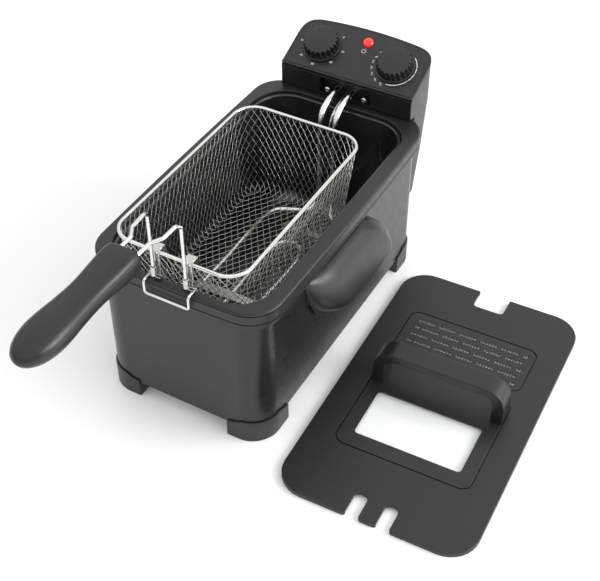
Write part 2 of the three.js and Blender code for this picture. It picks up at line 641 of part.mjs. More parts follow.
// Sheet strip hooked over the rim wire, with a blind sleeve in front for the handle's leg.
function basketBracket(sign) {
  const x = sign * handleWire.legX;
  const outside = bracket.frontY;
  const high = basket.rimZ + basket.wire + 1;
  const strip = join(
    box(x - bracket.halfWidth, x + bracket.halfWidth, outside, outside + bracket.sheet, bracket.bottom, high),
    box(x - 3, x + 3, outside, bracket.innerY, high - 0.01, high + bracket.sheet),
    box(x - 3, x + 3, bracket.innerY - bracket.sheet, bracket.innerY, bracket.innerBottom, high + bracket.sheet));
  const sleeve = post(x, handleWire.legY, handleWire.radius + 1.4, handleWire.footZ - 2.5, handleWire.footZ + 9);
  const bore = post(x, handleWire.legY, handleWire.radius + 0.35, handleWire.footZ - 0.4, handleWire.footZ + 20);
  return cut(join(strip, sleeve), bore);
}

function drainHook() {
  const { halfWidth: x, restZ: z, dropY: y, bottomZ: low } = hook;
  const start = bracket.frontY - GAP;
  return wire([
    [-x, start, z], [-x, start - 5, z], [-x, y + 1.2, z], [-x, y, z - 1.6], [-x, y, low + 5], [-x + 1.2, y, low + 1.2],
    [-x + 5, y, low], [0, y, low], [x - 5, y, low], [x - 1.2, y, low + 1.2], [x, y, low + 5], [x, y, z - 1.6],
    [x, y + 1.2, z], [x, start - 5, z], [x, start, z],
  ], hook.wire, 40, 6);
}

// Bulbous moulded grip turned about its length, flattened a little, with sockets for both wires.
function basketGrip() {
  const length = grip.startY - grip.endY;
  const shares = [
    [0, 0], [0.44, 0.007], [0.79, 0.03], [0.92, 0.085], [0.89, 0.18], [0.8, 0.36], [0.85, 0.485], [0.97, 0.61],
    [1, 0.73], [0.95, 0.825], [0.79, 0.91], [0.52, 0.97], [0.22, 0.996], [0, 1],
  ];
  const outline = new THREE.SplineCurve(
    shares.map(([radius, along]) => new THREE.Vector2(radius, along * length))).getPoints(22);
  outline[0].x = 0;
  outline[outline.length - 1].x = 0;
  const body = new THREE.LatheGeometry(outline.map((p) => new THREE.Vector2(Math.max(p.x, 0), p.y)), 16)
    .scale(grip.width / 2, 1, grip.height / 2).rotateX(Math.PI).translate(0, grip.startY, grip.z);
  const sockets = [-1, 1].map((sign) => rod(
    sign * handleWire.gripX, handleWire.bendZ, handleWire.radius + 0.35, grip.startY - 14, grip.startY + 5, 10));
  return cut(body, ...sockets);
}

// One leg of the handle: out of the grip, spreading, then bending down into its bracket sleeve.
function handleWireSolid(sign) {
  const { gripX, legX, legY, footZ, bendZ } = handleWire;
  return wire([
    [gripX, grip.startY - 13, bendZ], [gripX, grip.startY, bendZ], [gripX, -225, bendZ], [gripX + 3, -219, bendZ + 0.5],
    [legX - 3, -211, bendZ + 1], [legX - 1, -204, bendZ + 0.5], [legX - 0.6, legY - 5, bendZ - 0.5],
    [legX - 0.4, legY - 1, bendZ - 3], [legX, legY, bendZ - 8], [legX, legY, 240], [legX, legY, 215],
    [legX, legY, footZ + 1],
  ].map(([x, y, z]) => [sign * x, y, z]), handleWire.radius, 32);
}

function basketGroup() {
  return collect(
    part('basket_rim', basketRim(), finish.chrome),
    part('basket_mesh', basketMesh(), finish.chrome),
    part('basket_bracket_left', basketBracket(-1), finish.chrome),
    part('basket_bracket_right', basketBracket(1), finish.chrome),
    part('drain_hook', drainHook(), finish.chrome),
    part('handle_wire_left', handleWireSolid(-1), finish.chrome),
    part('handle_wire_right', handleWireSolid(1), finish.chrome),
    part('basket_grip', basketGrip(), finish.plastic));
}

// ---------------------------------------------------------------- lid, in its own frame
function outlineBetween(halfWidth, frontY, backY, radius, grow = 0) {
  const shape = roundedRect(2 * (halfWidth + grow), backY - frontY + 2 * grow, radius + grow);
  return { shape, y: (frontY + backY) / 2 };
}

function lidSlab(halfWidth, frontY, backY, radius, bottom, top, grow = 0) {
  const { shape, y } = outlineBetween(halfWidth, frontY, backY, radius, grow);
  return slab(shape, bottom, top, 5).translate(0, y, 0);
}

function lidPlate() {
  const half = lid.length / 2;
  const skin = slab(roundedRect(lid.width, lid.length, lid.radius), 0, lid.top);
  const hollow = slab(
    roundedRect(lid.width - 2 * lid.skirt, lid.length - 2 * lid.skirt, lid.radius - lid.skirt),
    -THROUGH, lid.top - lid.skin);
  const notch = lidSlab(lid.notchWidth / 2, half - lid.notchDepth, half + 15, 5, -THROUGH, THROUGH);
  const slots = [-1, 1].map((sign) => lidSlab(
    lid.slotWidth / 2, -half - 15, -half + lid.slotDepth, lid.slotWidth / 2 - 0.2, -THROUGH, THROUGH)
    .translate(sign * lid.slotX, 0, 0));
  const windowWay = lidSlab(frameRing.halfWidth, frameRing.frontY, frameRing.backY, frameRing.radius,
    -THROUGH, THROUGH, 2 * GAP);
  const ventWay = lidSlab(vent.halfWidth, vent.frontY, vent.backY, vent.radius, -THROUGH, THROUGH);
  return cut(skin, hollow, notch, ...slots, windowWay, ventWay);
}

// Insert that carries the glass, flush with the lid and held by a flange under it.
function windowFrame() {
  const { halfWidth, frontY, backY, radius } = frameRing;
  const flangeTop = lid.top - lid.skin - GAP;
  const insert = lidSlab(halfWidth, frontY, backY, radius, 1.4, lid.top);
  const flange = lidSlab(halfWidth, frontY, backY, radius, 1.4, flangeTop, 3);
  const sight = lidSlab(pane.halfWidth, pane.frontY, pane.backY, pane.radius, -THROUGH, THROUGH);
  const rebate = lidSlab(pane.halfWidth, pane.frontY, pane.backY, pane.radius, -THROUGH, flangeTop, 5);
  const screwWays = [-1, 1].map((sign) => post(sign * lidHandle.screwX, lidHandle.screwY, 2.2, -5, 15, 12));
  return cut(join(insert, flange), sight, rebate, ...screwWays);
}

function windowSeal() {
  const top = lid.top - lid.skin - 2 * GAP;
  const ring = lidSlab(pane.halfWidth, pane.frontY, pane.backY, pane.radius, 1.4, top, 5 - GAP);
  return cut(ring, lidSlab(pane.halfWidth, pane.frontY, pane.backY, pane.radius, -5, 10, 1.4));
}

function windowGlass() {
  return lidSlab(pane.halfWidth, pane.frontY, pane.backY, pane.radius, 1.6, lid.top - lid.skin - 2 * GAP, 1.1);
}

function filterTray() {
  const top = lid.top - lid.skin - GAP;
  const { halfWidth, frontY, backY, radius } = vent;
  return cut(
    lidSlab(halfWidth, frontY, backY, radius, 0.8, top, 3),
    lidSlab(halfWidth, frontY, backY, radius, 1.8, top + 5, -3),
    lidSlab(halfWidth, frontY, backY, radius, -5, 10, -8));
}

function filterPad() {
  return lidSlab(vent.halfWidth, vent.frontY, vent.backY, vent.radius, 2.1, 3.7, -3 - GAP);
}

// Flush cover over the filter, pierced by four staggered rows of steam slits.
function ventCover() {
  const cover = lidSlab(vent.halfWidth, vent.frontY, vent.backY, vent.radius, 4, lid.top, -GAP - 0.2);
  const slits = [];
  for (let row = 0; row < ventSlits.rows; row += 1) {
    const y = ventSlits.backY - row * ventSlits.rowPitch;
    const shift = row % 2 ? ventSlits.pitch * 0.36 : 0;
    for (let i = 0; i < ventSlits.perRow; i += 1) {
      const x = ventSlits.startX + shift + i * ventSlits.pitch;
      slits.push(box(x, x + ventSlits.length, y - 1.3, y + 1.3, -5, 15));
    }
  }
  return cut(cover, ...slits);
}

// Upright bridge handle: an arch seen from in front, nearly straight up and down from the side.
function lidHandleSolid() {
  const { halfWidth: x, legThickness: leg, frontY, backY, top, barThickness, shoulder, innerShoulder } = lidHandle;
  const low = lid.top + GAP;
  const innerX = x - leg;
  const innerTop = top - barThickness;
  const arch = new THREE.Shape();
  arch.moveTo(-x, low);
  arch.lineTo(-x, top - shoulder);
  arch.quadraticCurveTo(-x, top, -x + shoulder, top);
  arch.lineTo(x - shoulder, top);
  arch.quadraticCurveTo(x, top, x, top - shoulder);
  arch.lineTo(x, low);
  arch.lineTo(innerX, low);
  arch.lineTo(innerX, innerTop - innerShoulder);
  arch.quadraticCurveTo(innerX, innerTop, innerX - innerShoulder, innerTop);
  arch.lineTo(-innerX + innerShoulder, innerTop);
  arch.quadraticCurveTo(-innerX, innerTop, -innerX, innerTop - innerShoulder);
  arch.lineTo(-innerX, low);
  arch.closePath();
  const side = new THREE.Shape();
  side.moveTo(frontY, low);
  side.lineTo(frontY + 1, top - 2);
  side.lineTo(frontY + 3, top);
  side.lineTo(backY - 4, top);
  side.lineTo(backY - 1, top - 3);
  side.lineTo(backY, low);
  side.closePath();
  const body = common(alongY(arch, frontY - 5, backY + 5, 6), alongX(side, -x - 5, x + 5, 4));
  const screwWays = [-1, 1].map((sign) => post(sign * lidHandle.screwX, lidHandle.screwY, 2.1, 0, 13, 10));
  return cut(body, ...screwWays);
}

// Screw driven up through the frame into a foot of the handle.
function lidHandleScrew(sign) {
  const profile = [[0, 0], [3.4, 0.2], [3.4, 0.9], [1.8, 0.9], [1.8, 11], [0, 11]];
  return new THREE.LatheGeometry(profile.map(([r, y]) => new THREE.Vector2(r, y)), 12)
    .rotateX(Math.PI / 2).translate(sign * lidHandle.screwX, lidHandle.screwY, 0.2);
}

function lidGroup() {
  const group = collect(
    part('lid_plate', lidPlate(), finish.charcoal),
    part('window_frame', windowFrame(), finish.plastic),
    part('window_seal', windowSeal(), finish.silicone),
    part('window_glass', windowGlass(), finish.glass),
    part('filter_tray', filterTray(), finish.black),
    part('filter_pad', filterPad(), finish.fleece),
    part('vent_cover', ventCover(), finish.plastic),
    part('lid_handle', lidHandleSolid(), finish.plastic),
    part('lid_handle_screw_left', lidHandleScrew(-1), finish.steel),
    part('lid_handle_screw_right', lidHandleScrew(1), finish.steel));
  group.rotation.z = THREE.MathUtils.degToRad(lid.turn);
  group.position.set(lid.x, lid.y, 0);
  return group;
}

// ---------------------------------------------------------------- whole assembly
// Stands on the table with the middle of its bounding box over the origin.
const group = collect(
  housingGroup(), part('oil_tank', tankSolid(), finish.enamel), headGroup(), basketGroup(), lidGroup());
const middle = new THREE.Box3().setFromObject(group).getCenter(new THREE.Vector3());
group.position.set(-middle.x, -middle.y, 0);

export default group;
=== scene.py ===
"""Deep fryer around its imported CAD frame.

Smooth shells, woven basket, printed dials, materials, light and camera.
"""
import math

import bmesh
import bpy
from mathutils import Matrix, Vector
from mathutils.geometry import tessellate_polygon


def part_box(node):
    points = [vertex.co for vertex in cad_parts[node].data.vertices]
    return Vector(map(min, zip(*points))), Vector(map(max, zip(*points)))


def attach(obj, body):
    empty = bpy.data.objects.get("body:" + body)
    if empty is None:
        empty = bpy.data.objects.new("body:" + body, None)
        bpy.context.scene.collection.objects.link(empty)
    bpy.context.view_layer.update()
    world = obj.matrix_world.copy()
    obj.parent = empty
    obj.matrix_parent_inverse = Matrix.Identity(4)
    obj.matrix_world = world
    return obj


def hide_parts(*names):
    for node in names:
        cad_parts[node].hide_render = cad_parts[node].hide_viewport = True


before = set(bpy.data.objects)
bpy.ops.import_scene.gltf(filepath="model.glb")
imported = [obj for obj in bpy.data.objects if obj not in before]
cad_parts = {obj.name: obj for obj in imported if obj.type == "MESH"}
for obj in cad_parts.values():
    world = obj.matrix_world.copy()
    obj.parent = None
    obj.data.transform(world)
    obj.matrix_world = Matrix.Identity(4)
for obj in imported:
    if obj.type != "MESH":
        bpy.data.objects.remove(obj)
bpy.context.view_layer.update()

# ------------------------------------------------------------------ driving sizes, in millimetres
MM = 0.001
SIDES = (("left", -1), ("right", 1))
HOUSING = {"width": 200, "length": 370, "bottom": 19.2, "top": 166.5, "radius": 30, "wall": 1.0}
COLLAR = {"width": 215, "length": 379, "radius": 36, "bow": 1.5, "bottom": 166.8, "groove": 174.5,
          "top": 191, "inset": 3, "shoulder": 2.4, "lip": 1.0, "mouth_width": 188, "mouth_length": 354,
          "mouth_radius": 42, "mouth_y": -5, "ledge": 185.7, "throat": 3}
FOOT = {"front": 44, "side": 51, "height": 28.6, "end_height": 23.5, "proud": 2, "depth": 27}
HOOD = {"nose": -66, "undercut": 30, "tail": 22, "sweep": 52, "reach": 27, "bottom": 105, "top": 165.3,
        "skin": 3, "front_round": 31, "back_round": 20, "fullness": 0.93}
TANK = {"width": 181, "length": 347, "radius": 39, "floor": 44, "top": 187.5, "wall": 1.0, "flange": 3,
        "scale_x": 0.88, "scale_y": 0.93, "sweep": 16}
HEAD = {"width": 171, "front": 180, "back": 249.5, "front_z": 220, "slope": 0.437, "bottom": 73.5,
        "wall": 2.5, "panel": 3, "step_y": 191.2, "step_z": 191.6}
KNOB = {"x": 48, "along": 36, "radius": 23.2, "height": 15, "flutes": 22}
LAMP = {"x": 3, "along": 57.5, "radius": 6.2, "height": 4.5}
RESET = {"x": 42, "z": 112, "radius": 4, "start": 228, "end": 239.5}
SWITCH_PIN = {"x": -55, "z": 149, "radius": 2.5, "start": 196.3, "end": 203}
SCREW = {"x": 24, "z": 198.7, "seat": 182.9, "turn": 20}
ELEMENT = {"tube": 4, "x": 9.5, "floor_z": 62, "half": 56, "front": -128}
BASKET = {"width": 150, "front": -179.5, "back": 82, "rim_z": 222, "wire": 2, "radius": 25,
          "bottom": 118.6, "scale_x": 0.86, "scale_y": 0.91, "sweep": 9}
MESH = {"wire": 0.36, "weave": 0.38, "wires": 92, "cell_height": 13, "sides": 6, "floor_pitch": 7.2,
        "floor_cell": 7.8, "floor_lean": (0.55, 0.835)}
BRACKET = {"half": 5.5, "foot_half": 8, "sheet": 1.2, "front": -183.8, "bottom": 191.7, "inner": -166,
           "inner_bottom": 212}
HOOK = {"x": 26, "wire": 1.5, "rest_z": 193, "drop_y": -195, "bottom": 177, "bend": 3.2}
HANDLE = {"wire": 2, "grip_x": 10, "leg_x": 19, "leg_y": -186.3, "foot": 199, "z": 277}
GRIP = {"start": -247, "length": 153, "z": 275.5}
LID = {"width": 217, "length": 369, "radius": 33, "top": 6, "skin": 2.2, "notch": 37, "notch_depth": 27,
       "slot_x": 17, "slot": 14.5, "slot_depth": 29, "turn": 1.98}
FRAME = {"half": 77, "front": -104, "back": 31, "radius": 12}
PANE = {"half": 61.5, "front": -85.5, "back": -18, "radius": 5}
VENT = {"half": 77.5, "front": 47.8, "back": 117.5, "radius": 11, "bottom": 4.9}
SLIT = {"rows": 5, "back_row": 104.8, "row_pitch": 11.6, "groups": 5, "group_pitch": 25.5,
        "in_group": 6, "pitch": 3.5, "pair_pitch": 3}
ARCH = {"half": 76.3, "leg": 13, "front": -4.8, "back": 22.8, "top": 49.9, "bar": 10.5,
        "shoulder": 23, "inner": 12, "screw_x": 70, "screw_y": 9}
CAMERA = {"lens": 70.1, "sensor": 36, "azimuth": 29.23, "elevation": 42.91, "distance": 1.2476,
          "target": (0.0751, -0.0612, 0.1164)}

# ------------------------------------------------------------------ places, all from the frame
shell_low, shell_high = (Vector(corner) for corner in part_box("housing_shell"))
lid_low, lid_high = (Vector(corner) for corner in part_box("lid_plate"))
fryer_centre = (shell_low + shell_high) / 2
lid_centre = (lid_low + lid_high) / 2
FRYER = Matrix.Translation((fryer_centre.x, fryer_centre.y, 0))
LID_TURN = Matrix.Rotation(math.radians(LID["turn"]), 4, "Z")
LID_PLACE = Matrix.Translation((lid_centre.x, lid_centre.y, 0)) @ LID_TURN
panel_angle = math.atan(HEAD["slope"])
panel_edge = Matrix.Translation(Vector((0, HEAD["front"], HEAD["front_z"])) * MM)
PANEL = FRYER @ panel_edge @ Matrix.Rotation(panel_angle, 4, "X")


# ------------------------------------------------------------------ material helpers
def new_material(name, color, roughness, metallic=0.0, **sockets):
    """A Principled material whose whole-surface values sit on the shader's own sockets."""
    material = bpy.data.materials.new(name)
    material.use_nodes = True
    shader = material.node_tree.nodes["Principled BSDF"]
    shader.inputs["Base Color"].default_value = (*color, 1)
    shader.inputs["Roughness"].default_value = roughness
    shader.inputs["Metallic"].default_value = metallic
    for socket, value in sockets.items():
        shader.inputs[socket.replace("_", " ")].default_value = value
    return material


def node(material, kind, inputs=None, **settings):
    """Adds a node. inputs maps a socket to a value or to another node's output."""
    made = material.node_tree.nodes.new(kind)
    for key, value in settings.items():
        setattr(made, key, value)
    for socket, value in (inputs or {}).items():
        if isinstance(value, bpy.types.NodeSocket):
            material.node_tree.links.new(value, made.inputs[socket])
        else:
            made.inputs[socket].default_value = value
    return made


def position(material, scale=(1, 1, 1)):
    """Object coordinates, stretched by scale, so a pattern doesn't need a UV map."""
    source = node(material, "ShaderNodeTexCoord").outputs["Object"]
    return node(material, "ShaderNodeMapping", {"Vector": source, "Scale": scale}).outputs["Vector"]


def noise(material, vector, size_mm, detail=3.0, roughness=0.55):
    inputs = {"Vector": vector, "Scale": 1 / (size_mm * MM), "Detail": detail, "Roughness": roughness}
    return node(material, "ShaderNodeTexNoise", inputs).outputs["Fac"]


def remap(material, value, low, high, start=0.3, end=0.7):
    inputs = {"Value": value, "From Min": start, "From Max": end, "To Min": low, "To Max": high}
    return node(material, "ShaderNodeMapRange", inputs).outputs["Result"]


def feed(material, socket, output):
    material.node_tree.links.new(output, material.node_tree.nodes["Principled BSDF"].inputs[socket])


def bump(material, height, depth_mm, strength=1.0, below=None):
    inputs = {"Height": height, "Distance": depth_mm * MM, "Strength": strength}
    if below is not None:
        inputs["Normal"] = below
    output = node(material, "ShaderNodeBump", inputs).outputs["Normal"]
    feed(material, "Normal", output)
    return output


def shades(material, value, dark, light, start=0.3, end=0.7):
    """Base colour that drifts between two close shades."""
    ramp = node(material, "ShaderNodeValToRGB", {"Fac": value})
    ramp.color_ramp.elements[0].position = start
    ramp.color_ramp.elements[0].color = (*dark, 1)
    ramp.color_ramp.elements[1].position = end
    ramp.color_ramp.elements[1].color = (*light, 1)
    feed(material, "Base Color", ramp.outputs["Color"])


def uneven_gloss(material, place, size_mm, low, high):
    """Roughness that drifts between two values."""
    feed(material, "Roughness", remap(material, noise(material, place, size_mm), low, high))


def moulded_plastic(name, dark, light, roughness, grain_mm=0.5, grain_depth=0.02):
    """Spark-eroded plastic: fine grain, faint cloudiness, slightly uneven gloss."""
    material = new_material(name, light, roughness)
    place = position(material)
    cloud = noise(material, place, 28)
    grain = noise(material, place, grain_mm, detail=2)
    shades(material, cloud, dark, light)
    uneven_gloss(material, place, 9, roughness - 0.05, roughness + 0.06)
    bump(material, grain, grain_depth, 0.6)
    return material


def coated_metal(name, dark, light, roughness):
    """Powder coat on sheet steel: shallow orange peel and very fine speckle."""
    material = new_material(name, light, roughness)
    place = position(material)
    speckle = noise(material, place, 0.8, detail=1)
    shades(material, speckle, dark, light)
    uneven_gloss(material, place, 14, roughness - 0.04, roughness + 0.05)
    peel = bump(material, noise(material, place, 3.5), 0.006, 0.3)
    bump(material, speckle, 0.004, 0.3, below=peel)
    return material


def plated_metal(name, color, roughness, scratch=(1, 1, 1)):
    """Bright plating with cloudy gloss and hairline scratches along one direction."""
    material = new_material(name, color, roughness, 1.0)
    place = position(material, scratch)
    dark = tuple(channel * 0.9 for channel in color)
    shades(material, noise(material, place, 11), dark, color)
    uneven_gloss(material, place, 4, roughness * 0.6, roughness * 1.5)
    bump(material, noise(material, place, 0.6), 0.006, 0.4)
    return material


def enamel():
    """Glossy black enamel with pin-head speckle."""
    material = new_material("black_enamel", (0.010, 0.010, 0.011), 0.3,
                            Coat_Weight=0.5, Coat_Roughness=0.08)
    place = position(material)
    speckle = noise(material, place, 1.3, detail=1)
    shades(material, speckle, (0.007, 0.007, 0.008), (0.016, 0.016, 0.017), 0.45, 0.7)
    uneven_gloss(material, place, 22, 0.26, 0.4)
    bump(material, noise(material, place, 6), 0.03, 0.4)
    return material


def window_glass():
    """Clear glass as thin transparent sheet, with faint smears in its gloss."""
    material = new_material("window_glass", (0.93, 0.95, 0.96), 0.04,
                            Alpha=0.22, Coat_Weight=1.0, Coat_Roughness=0.02)
    place = position(material)
    uneven_gloss(material, place, 18, 0.03, 0.1)
    bump(material, noise(material, place, 30), 0.01, 0.3)
    return material


def red_lens():
    """Lit pilot lamp: clear red plastic that glows, its red mottled at random."""
    material = new_material("red_lens", (0.9, 0.03, 0.02), 0.12, Coat_Weight=0.8,
                            Emission_Color=(1, 0.02, 0.012, 1), Emission_Strength=0.55)
    place = position(material)
    shades(material, noise(material, place, 3), (0.70, 0.004, 0.004), (0.95, 0.02, 0.012))
    bump(material, noise(material, place, 2), 0.05, 0.3)
    return material


def white_print():
    """Screen-printed white ink, thin in places."""
    material = new_material("white_print", (0.8, 0.8, 0.8), 0.5)
    ink = noise(material, position(material), 0.7)
    shades(material, ink, (0.55, 0.55, 0.55), (0.85, 0.85, 0.85), 0.2, 0.5)
    return material


def filter_fleece():
    """Pale grey filter fleece: matted fibres, darker and paler at random."""
    material = new_material("filter_fleece", (0.6, 0.6, 0.58), 0.95)
    place = position(material)
    shades(material, noise(material, place, 1.2), (0.70, 0.70, 0.68), (0.90, 0.90, 0.88))
    bump(material, noise(material, place, 0.7), 0.3, 0.7)
    return material


def ceramic():
    """Off-white unglazed ceramic."""
    material = new_material("ceramic", (0.7, 0.68, 0.62), 0.55)
    place = position(material)
    shades(material, noise(material, place, 2.5), (0.6, 0.58, 0.52), (0.74, 0.72, 0.66))
    bump(material, noise(material, place, 0.9), 0.03, 0.4)
    return material


COAT = coated_metal("charcoal_coat", (0.007, 0.007, 0.007), (0.009, 0.009, 0.009), 0.3)
PLASTIC = moulded_plastic("charcoal_plastic", (0.010, 0.010, 0.010), (0.013, 0.013, 0.013), 0.38)
BLACK = moulded_plastic("black_plastic", (0.008, 0.008, 0.008), (0.011, 0.011, 0.011), 0.36)
LID_COAT = coated_metal("lid_coat", (0.010, 0.010, 0.010), (0.013, 0.013, 0.013), 0.42)
ENAMEL = enamel()
CHROME = plated_metal("chrome_plate", (0.80, 0.80, 0.79), 0.1)
MESH_WIRE = plated_metal("mesh_wire", (0.50, 0.49, 0.47), 0.3)
BRACKET_SHEET = plated_metal("bracket_sheet", (0.60, 0.60, 0.59), 0.2)
STEEL = plated_metal("sheet_steel", (0.55, 0.55, 0.54), 0.28, (1, 12, 12))
BRASS = plated_metal("brass", (0.72, 0.52, 0.24), 0.25)
GLASS = window_glass()
RED = red_lens()
PRINT = white_print()
SILICONE = moulded_plastic("silicone", (0.20, 0.20, 0.19), (0.26, 0.26, 0.25), 0.6, 1.2, 0.04)
FLEECE = filter_fleece()
CERAMIC = ceramic()


# ------------------------------------------------------------------ outlines
def rounded_outline(width, length, radius, bow=0.0, centre=(0, 0), steps=14, side_steps=1):
    """Counter-clockwise rounded rectangle. Its sides bow outwards by bow at their middles."""
    x, y = width / 2 - radius, length / 2 - radius
    points = []
    corners = [(x, -y, -90, y), (x, y, 0, x), (-x, y, 90, y), (-x, -y, 180, x)]
    for corner_x, corner_y, start, next_run in corners:
        for step in range(steps + 1):
            angle = math.radians(start + 90 * step / steps)
            points.append(Vector((corner_x + radius * math.cos(angle), corner_y + radius * math.sin(angle))))
        end = points[-1]
        outward = Vector((math.cos(math.radians(start + 90)), math.sin(math.radians(start + 90))))
        along = Vector((-outward.y, outward.x))
        for step in range(1, side_steps):
            share = step / side_steps
            lift = bow * (1 - (2 * share - 1) ** 2)
            points.append(end + along * (2 * next_run * share) + outward * lift)
    return [point + Vector(centre) for point in points]


def inset_outline(outline, distance):
    """Moves a counter-clockwise outline inwards by distance, with mitred corners."""
    count = len(outline)
    moved = []
    for i, point in enumerate(outline):
        before = (point - outline[i - 1]).normalized()
        after = (outline[(i + 1) % count] - point).normalized()
        normal_before = Vector((-before.y, before.x))
        normal_after = Vector((-after.y, after.x))
        mitre = normal_before + normal_after
        moved.append(point + mitre * (distance / max(0.3, 1 + normal_before.dot(normal_after))))
    return moved


def round_corners(points, radius, steps=5, closed=True):
    """Rounds the corners of a polyline of 2D or 3D points. radius is one number or one for each point."""
    points = [Vector(point) for point in points]
    count = len(points)
    radii = radius if isinstance(radius, (list, tuple)) else [radius] * count
    rounded = []
    for i, point in enumerate(points):
        if radii[i] <= 0 or (not closed and i in (0, count - 1)):
            rounded.append(point)
            continue
        to_last = points[i - 1] - point
        to_next = points[(i + 1) % count] - point
        angle = to_last.angle(to_next)
        if angle > math.pi - 0.02:
            rounded.append(point)
            continue
        reach = min(radii[i] / math.tan(angle / 2), 0.499 * to_last.length, 0.499 * to_next.length)
        start = point + to_last.normalized() * reach
        end = point + to_next.normalized() * reach
        bisector = (to_last.normalized() + to_next.normalized()).normalized()
        centre = point + bisector * (reach / math.cos(angle / 2))
        from_centre, to_centre = start - centre, end - centre
        sweep = from_centre.angle(to_centre)
        for step in range(steps + 1):
            share = step / steps
            a = math.sin((1 - share) * sweep) / math.sin(sweep)
            b = math.sin(share * sweep) / math.sin(sweep)
            rounded.append(centre + from_centre * a + to_centre * b)
    return rounded


# ------------------------------------------------------------------ skins: (points, faces), in millimetres
def loft(rings, loop=False, caps=True):
    """Skin over rings of equal length. loop joins the last ring to the first."""
    count = len(rings[0])
    points = [tuple(point) for ring in rings for point in ring]
    faces = []
    for i in range(len(rings) if loop else len(rings) - 1):
        low = i * count
        high = (i + 1) % len(rings) * count
        for j in range(count):
            k = (j + 1) % count
            faces.append((low + j, low + k, high + k, high + j))
    if caps and not loop:
        faces.append(tuple(reversed(range(count))))
        faces.append(tuple(range(len(points) - count, len(points))))
    return points, faces


def stack(outline, profile, loop=False, caps=True):
    """Rings of one outline, each moved in by the profile's first number and lifted to its second."""
    rings = [[(p.x, p.y, z) for p in inset_outline(outline, inset)] for inset, z in profile]
    return loft(rings, loop, caps)


def tube(path, radius, sides=14, closed=False, depth=None):
    """Round wire along a path of 3D points. depth, where given, flattens it across its first normal."""
    path = [Vector(point) for point in path]
    count = len(path)
    tangents = []
    for i in range(count):
        last = path[i - 1] if closed or i else path[i]
        following = path[(i + 1) % count] if closed or i < count - 1 else path[i]
        tangents.append((following - last).normalized())
    normal = tangents[0].orthogonal().normalized()
    normals = []
    for i in range(count):
        if i:
            normal = tangents[i - 1].rotation_difference(tangents[i]) @ normal
        normal = (normal - tangents[i] * normal.dot(tangents[i])).normalized()
        normals.append(normal)
    twist = 0.0
    if closed:
        last = tangents[-1].rotation_difference(tangents[0]) @ normals[-1]
        side = tangents[0].cross(normals[0])
        twist = math.atan2(last.dot(side), last.dot(normals[0]))
    rings = []
    for i in range(count):
        side = tangents[i].cross(normals[i])
        turn = -twist * i / count
        ring = []
        for step in range(sides):
            angle = 2 * math.pi * step / sides + turn
            across = math.cos(angle) * (depth or radius)
            ring.append(path[i] + normals[i] * across + side * math.sin(angle) * radius)
        rings.append(ring)
    if not closed:
        rings = rounded_ends(rings, path, tangents, radius)
    return loft(rings, loop=closed)


def rounded_ends(rings, path, tangents, radius):
    """Adds a small dome of two rings at each end of a wire."""
    def dome(ring, centre, outward):
        made = []
        for scale, reach in ((0.92, 0.3), (0.6, 0.6)):
            made.append([centre + (point - centre) * scale + outward * radius * reach for point in ring])
        return made
    start = dome(rings[0], path[0], -tangents[0])
    end = dome(rings[-1], path[-1], tangents[-1])
    return start[::-1] + rings + end


def turned(profile, steps=32):
    """Lathe about Z. profile is (radius, height) from the foot to the top, and is capped."""
    rings = []
    for radius, height in profile:
        ring = []
        for step in range(steps):
            angle = 2 * math.pi * step / steps
            ring.append((radius * math.cos(angle), radius * math.sin(angle), height))
        rings.append(ring)
    return loft(rings)


def block(low, high, edge=0.4, steps=3):
    """Upright block with rounded edges all over."""
    width, length = high[0] - low[0], high[1] - low[1]
    centre = ((low[0] + high[0]) / 2, (low[1] + high[1]) / 2)
    outline = rounded_outline(width, length, edge, centre=centre, steps=steps)
    profile = []
    for step in range(steps + 1):
        angle = math.pi / 2 * step / steps
        profile.append((0.9 * edge * (1 - math.sin(angle)), low[2] + edge * (1 - math.cos(angle))))
    profile += [(inset, low[2] + high[2] - z) for inset, z in reversed(profile)]
    return stack(outline, profile)


def merged(skins):
    points, faces = [], []
    for more_points, more_faces in skins:
        base = len(points)
        points.extend(more_points)
        faces.extend(tuple(base + index for index in face) for face in more_faces)
    return points, faces


def moved(skin, matrix):
    """Skin carried by a matrix whose distances are millimetres."""
    points, faces = skin
    return [tuple(matrix @ Vector(point)) for point in points], faces


def shifted(skin, x=0.0, y=0.0, z=0.0):
    return moved(skin, Matrix.Translation((x, y, z)))


def rolled(skin, axis, degrees):
    return moved(skin, Matrix.Rotation(math.radians(degrees), 4, axis))


def mirrored(skin, x=-1, y=1):
    points, faces = skin
    flipped = [(point[0] * x, point[1] * y, point[2]) for point in points]
    return flipped, [tuple(reversed(face)) for face in faces] if x * y < 0 else faces


# ------------------------------------------------------------------ objects
def mesh_of(name, skin):
    points, faces = skin
    mesh = bpy.data.meshes.new(name)
    mesh.from_pydata([Vector(point) * MM for point in points], [], faces)
    tidy = bmesh.new()
    tidy.from_mesh(mesh)
    bmesh.ops.recalc_face_normals(tidy, faces=tidy.faces)
    tidy.to_mesh(mesh)
    tidy.free()
    return mesh


def shade(mesh, sharp_degrees):
    mesh.polygons.foreach_set("use_smooth", [True] * len(mesh.polygons))
    mesh.set_sharp_from_angle(angle=math.radians(sharp_degrees))
    mesh.update()


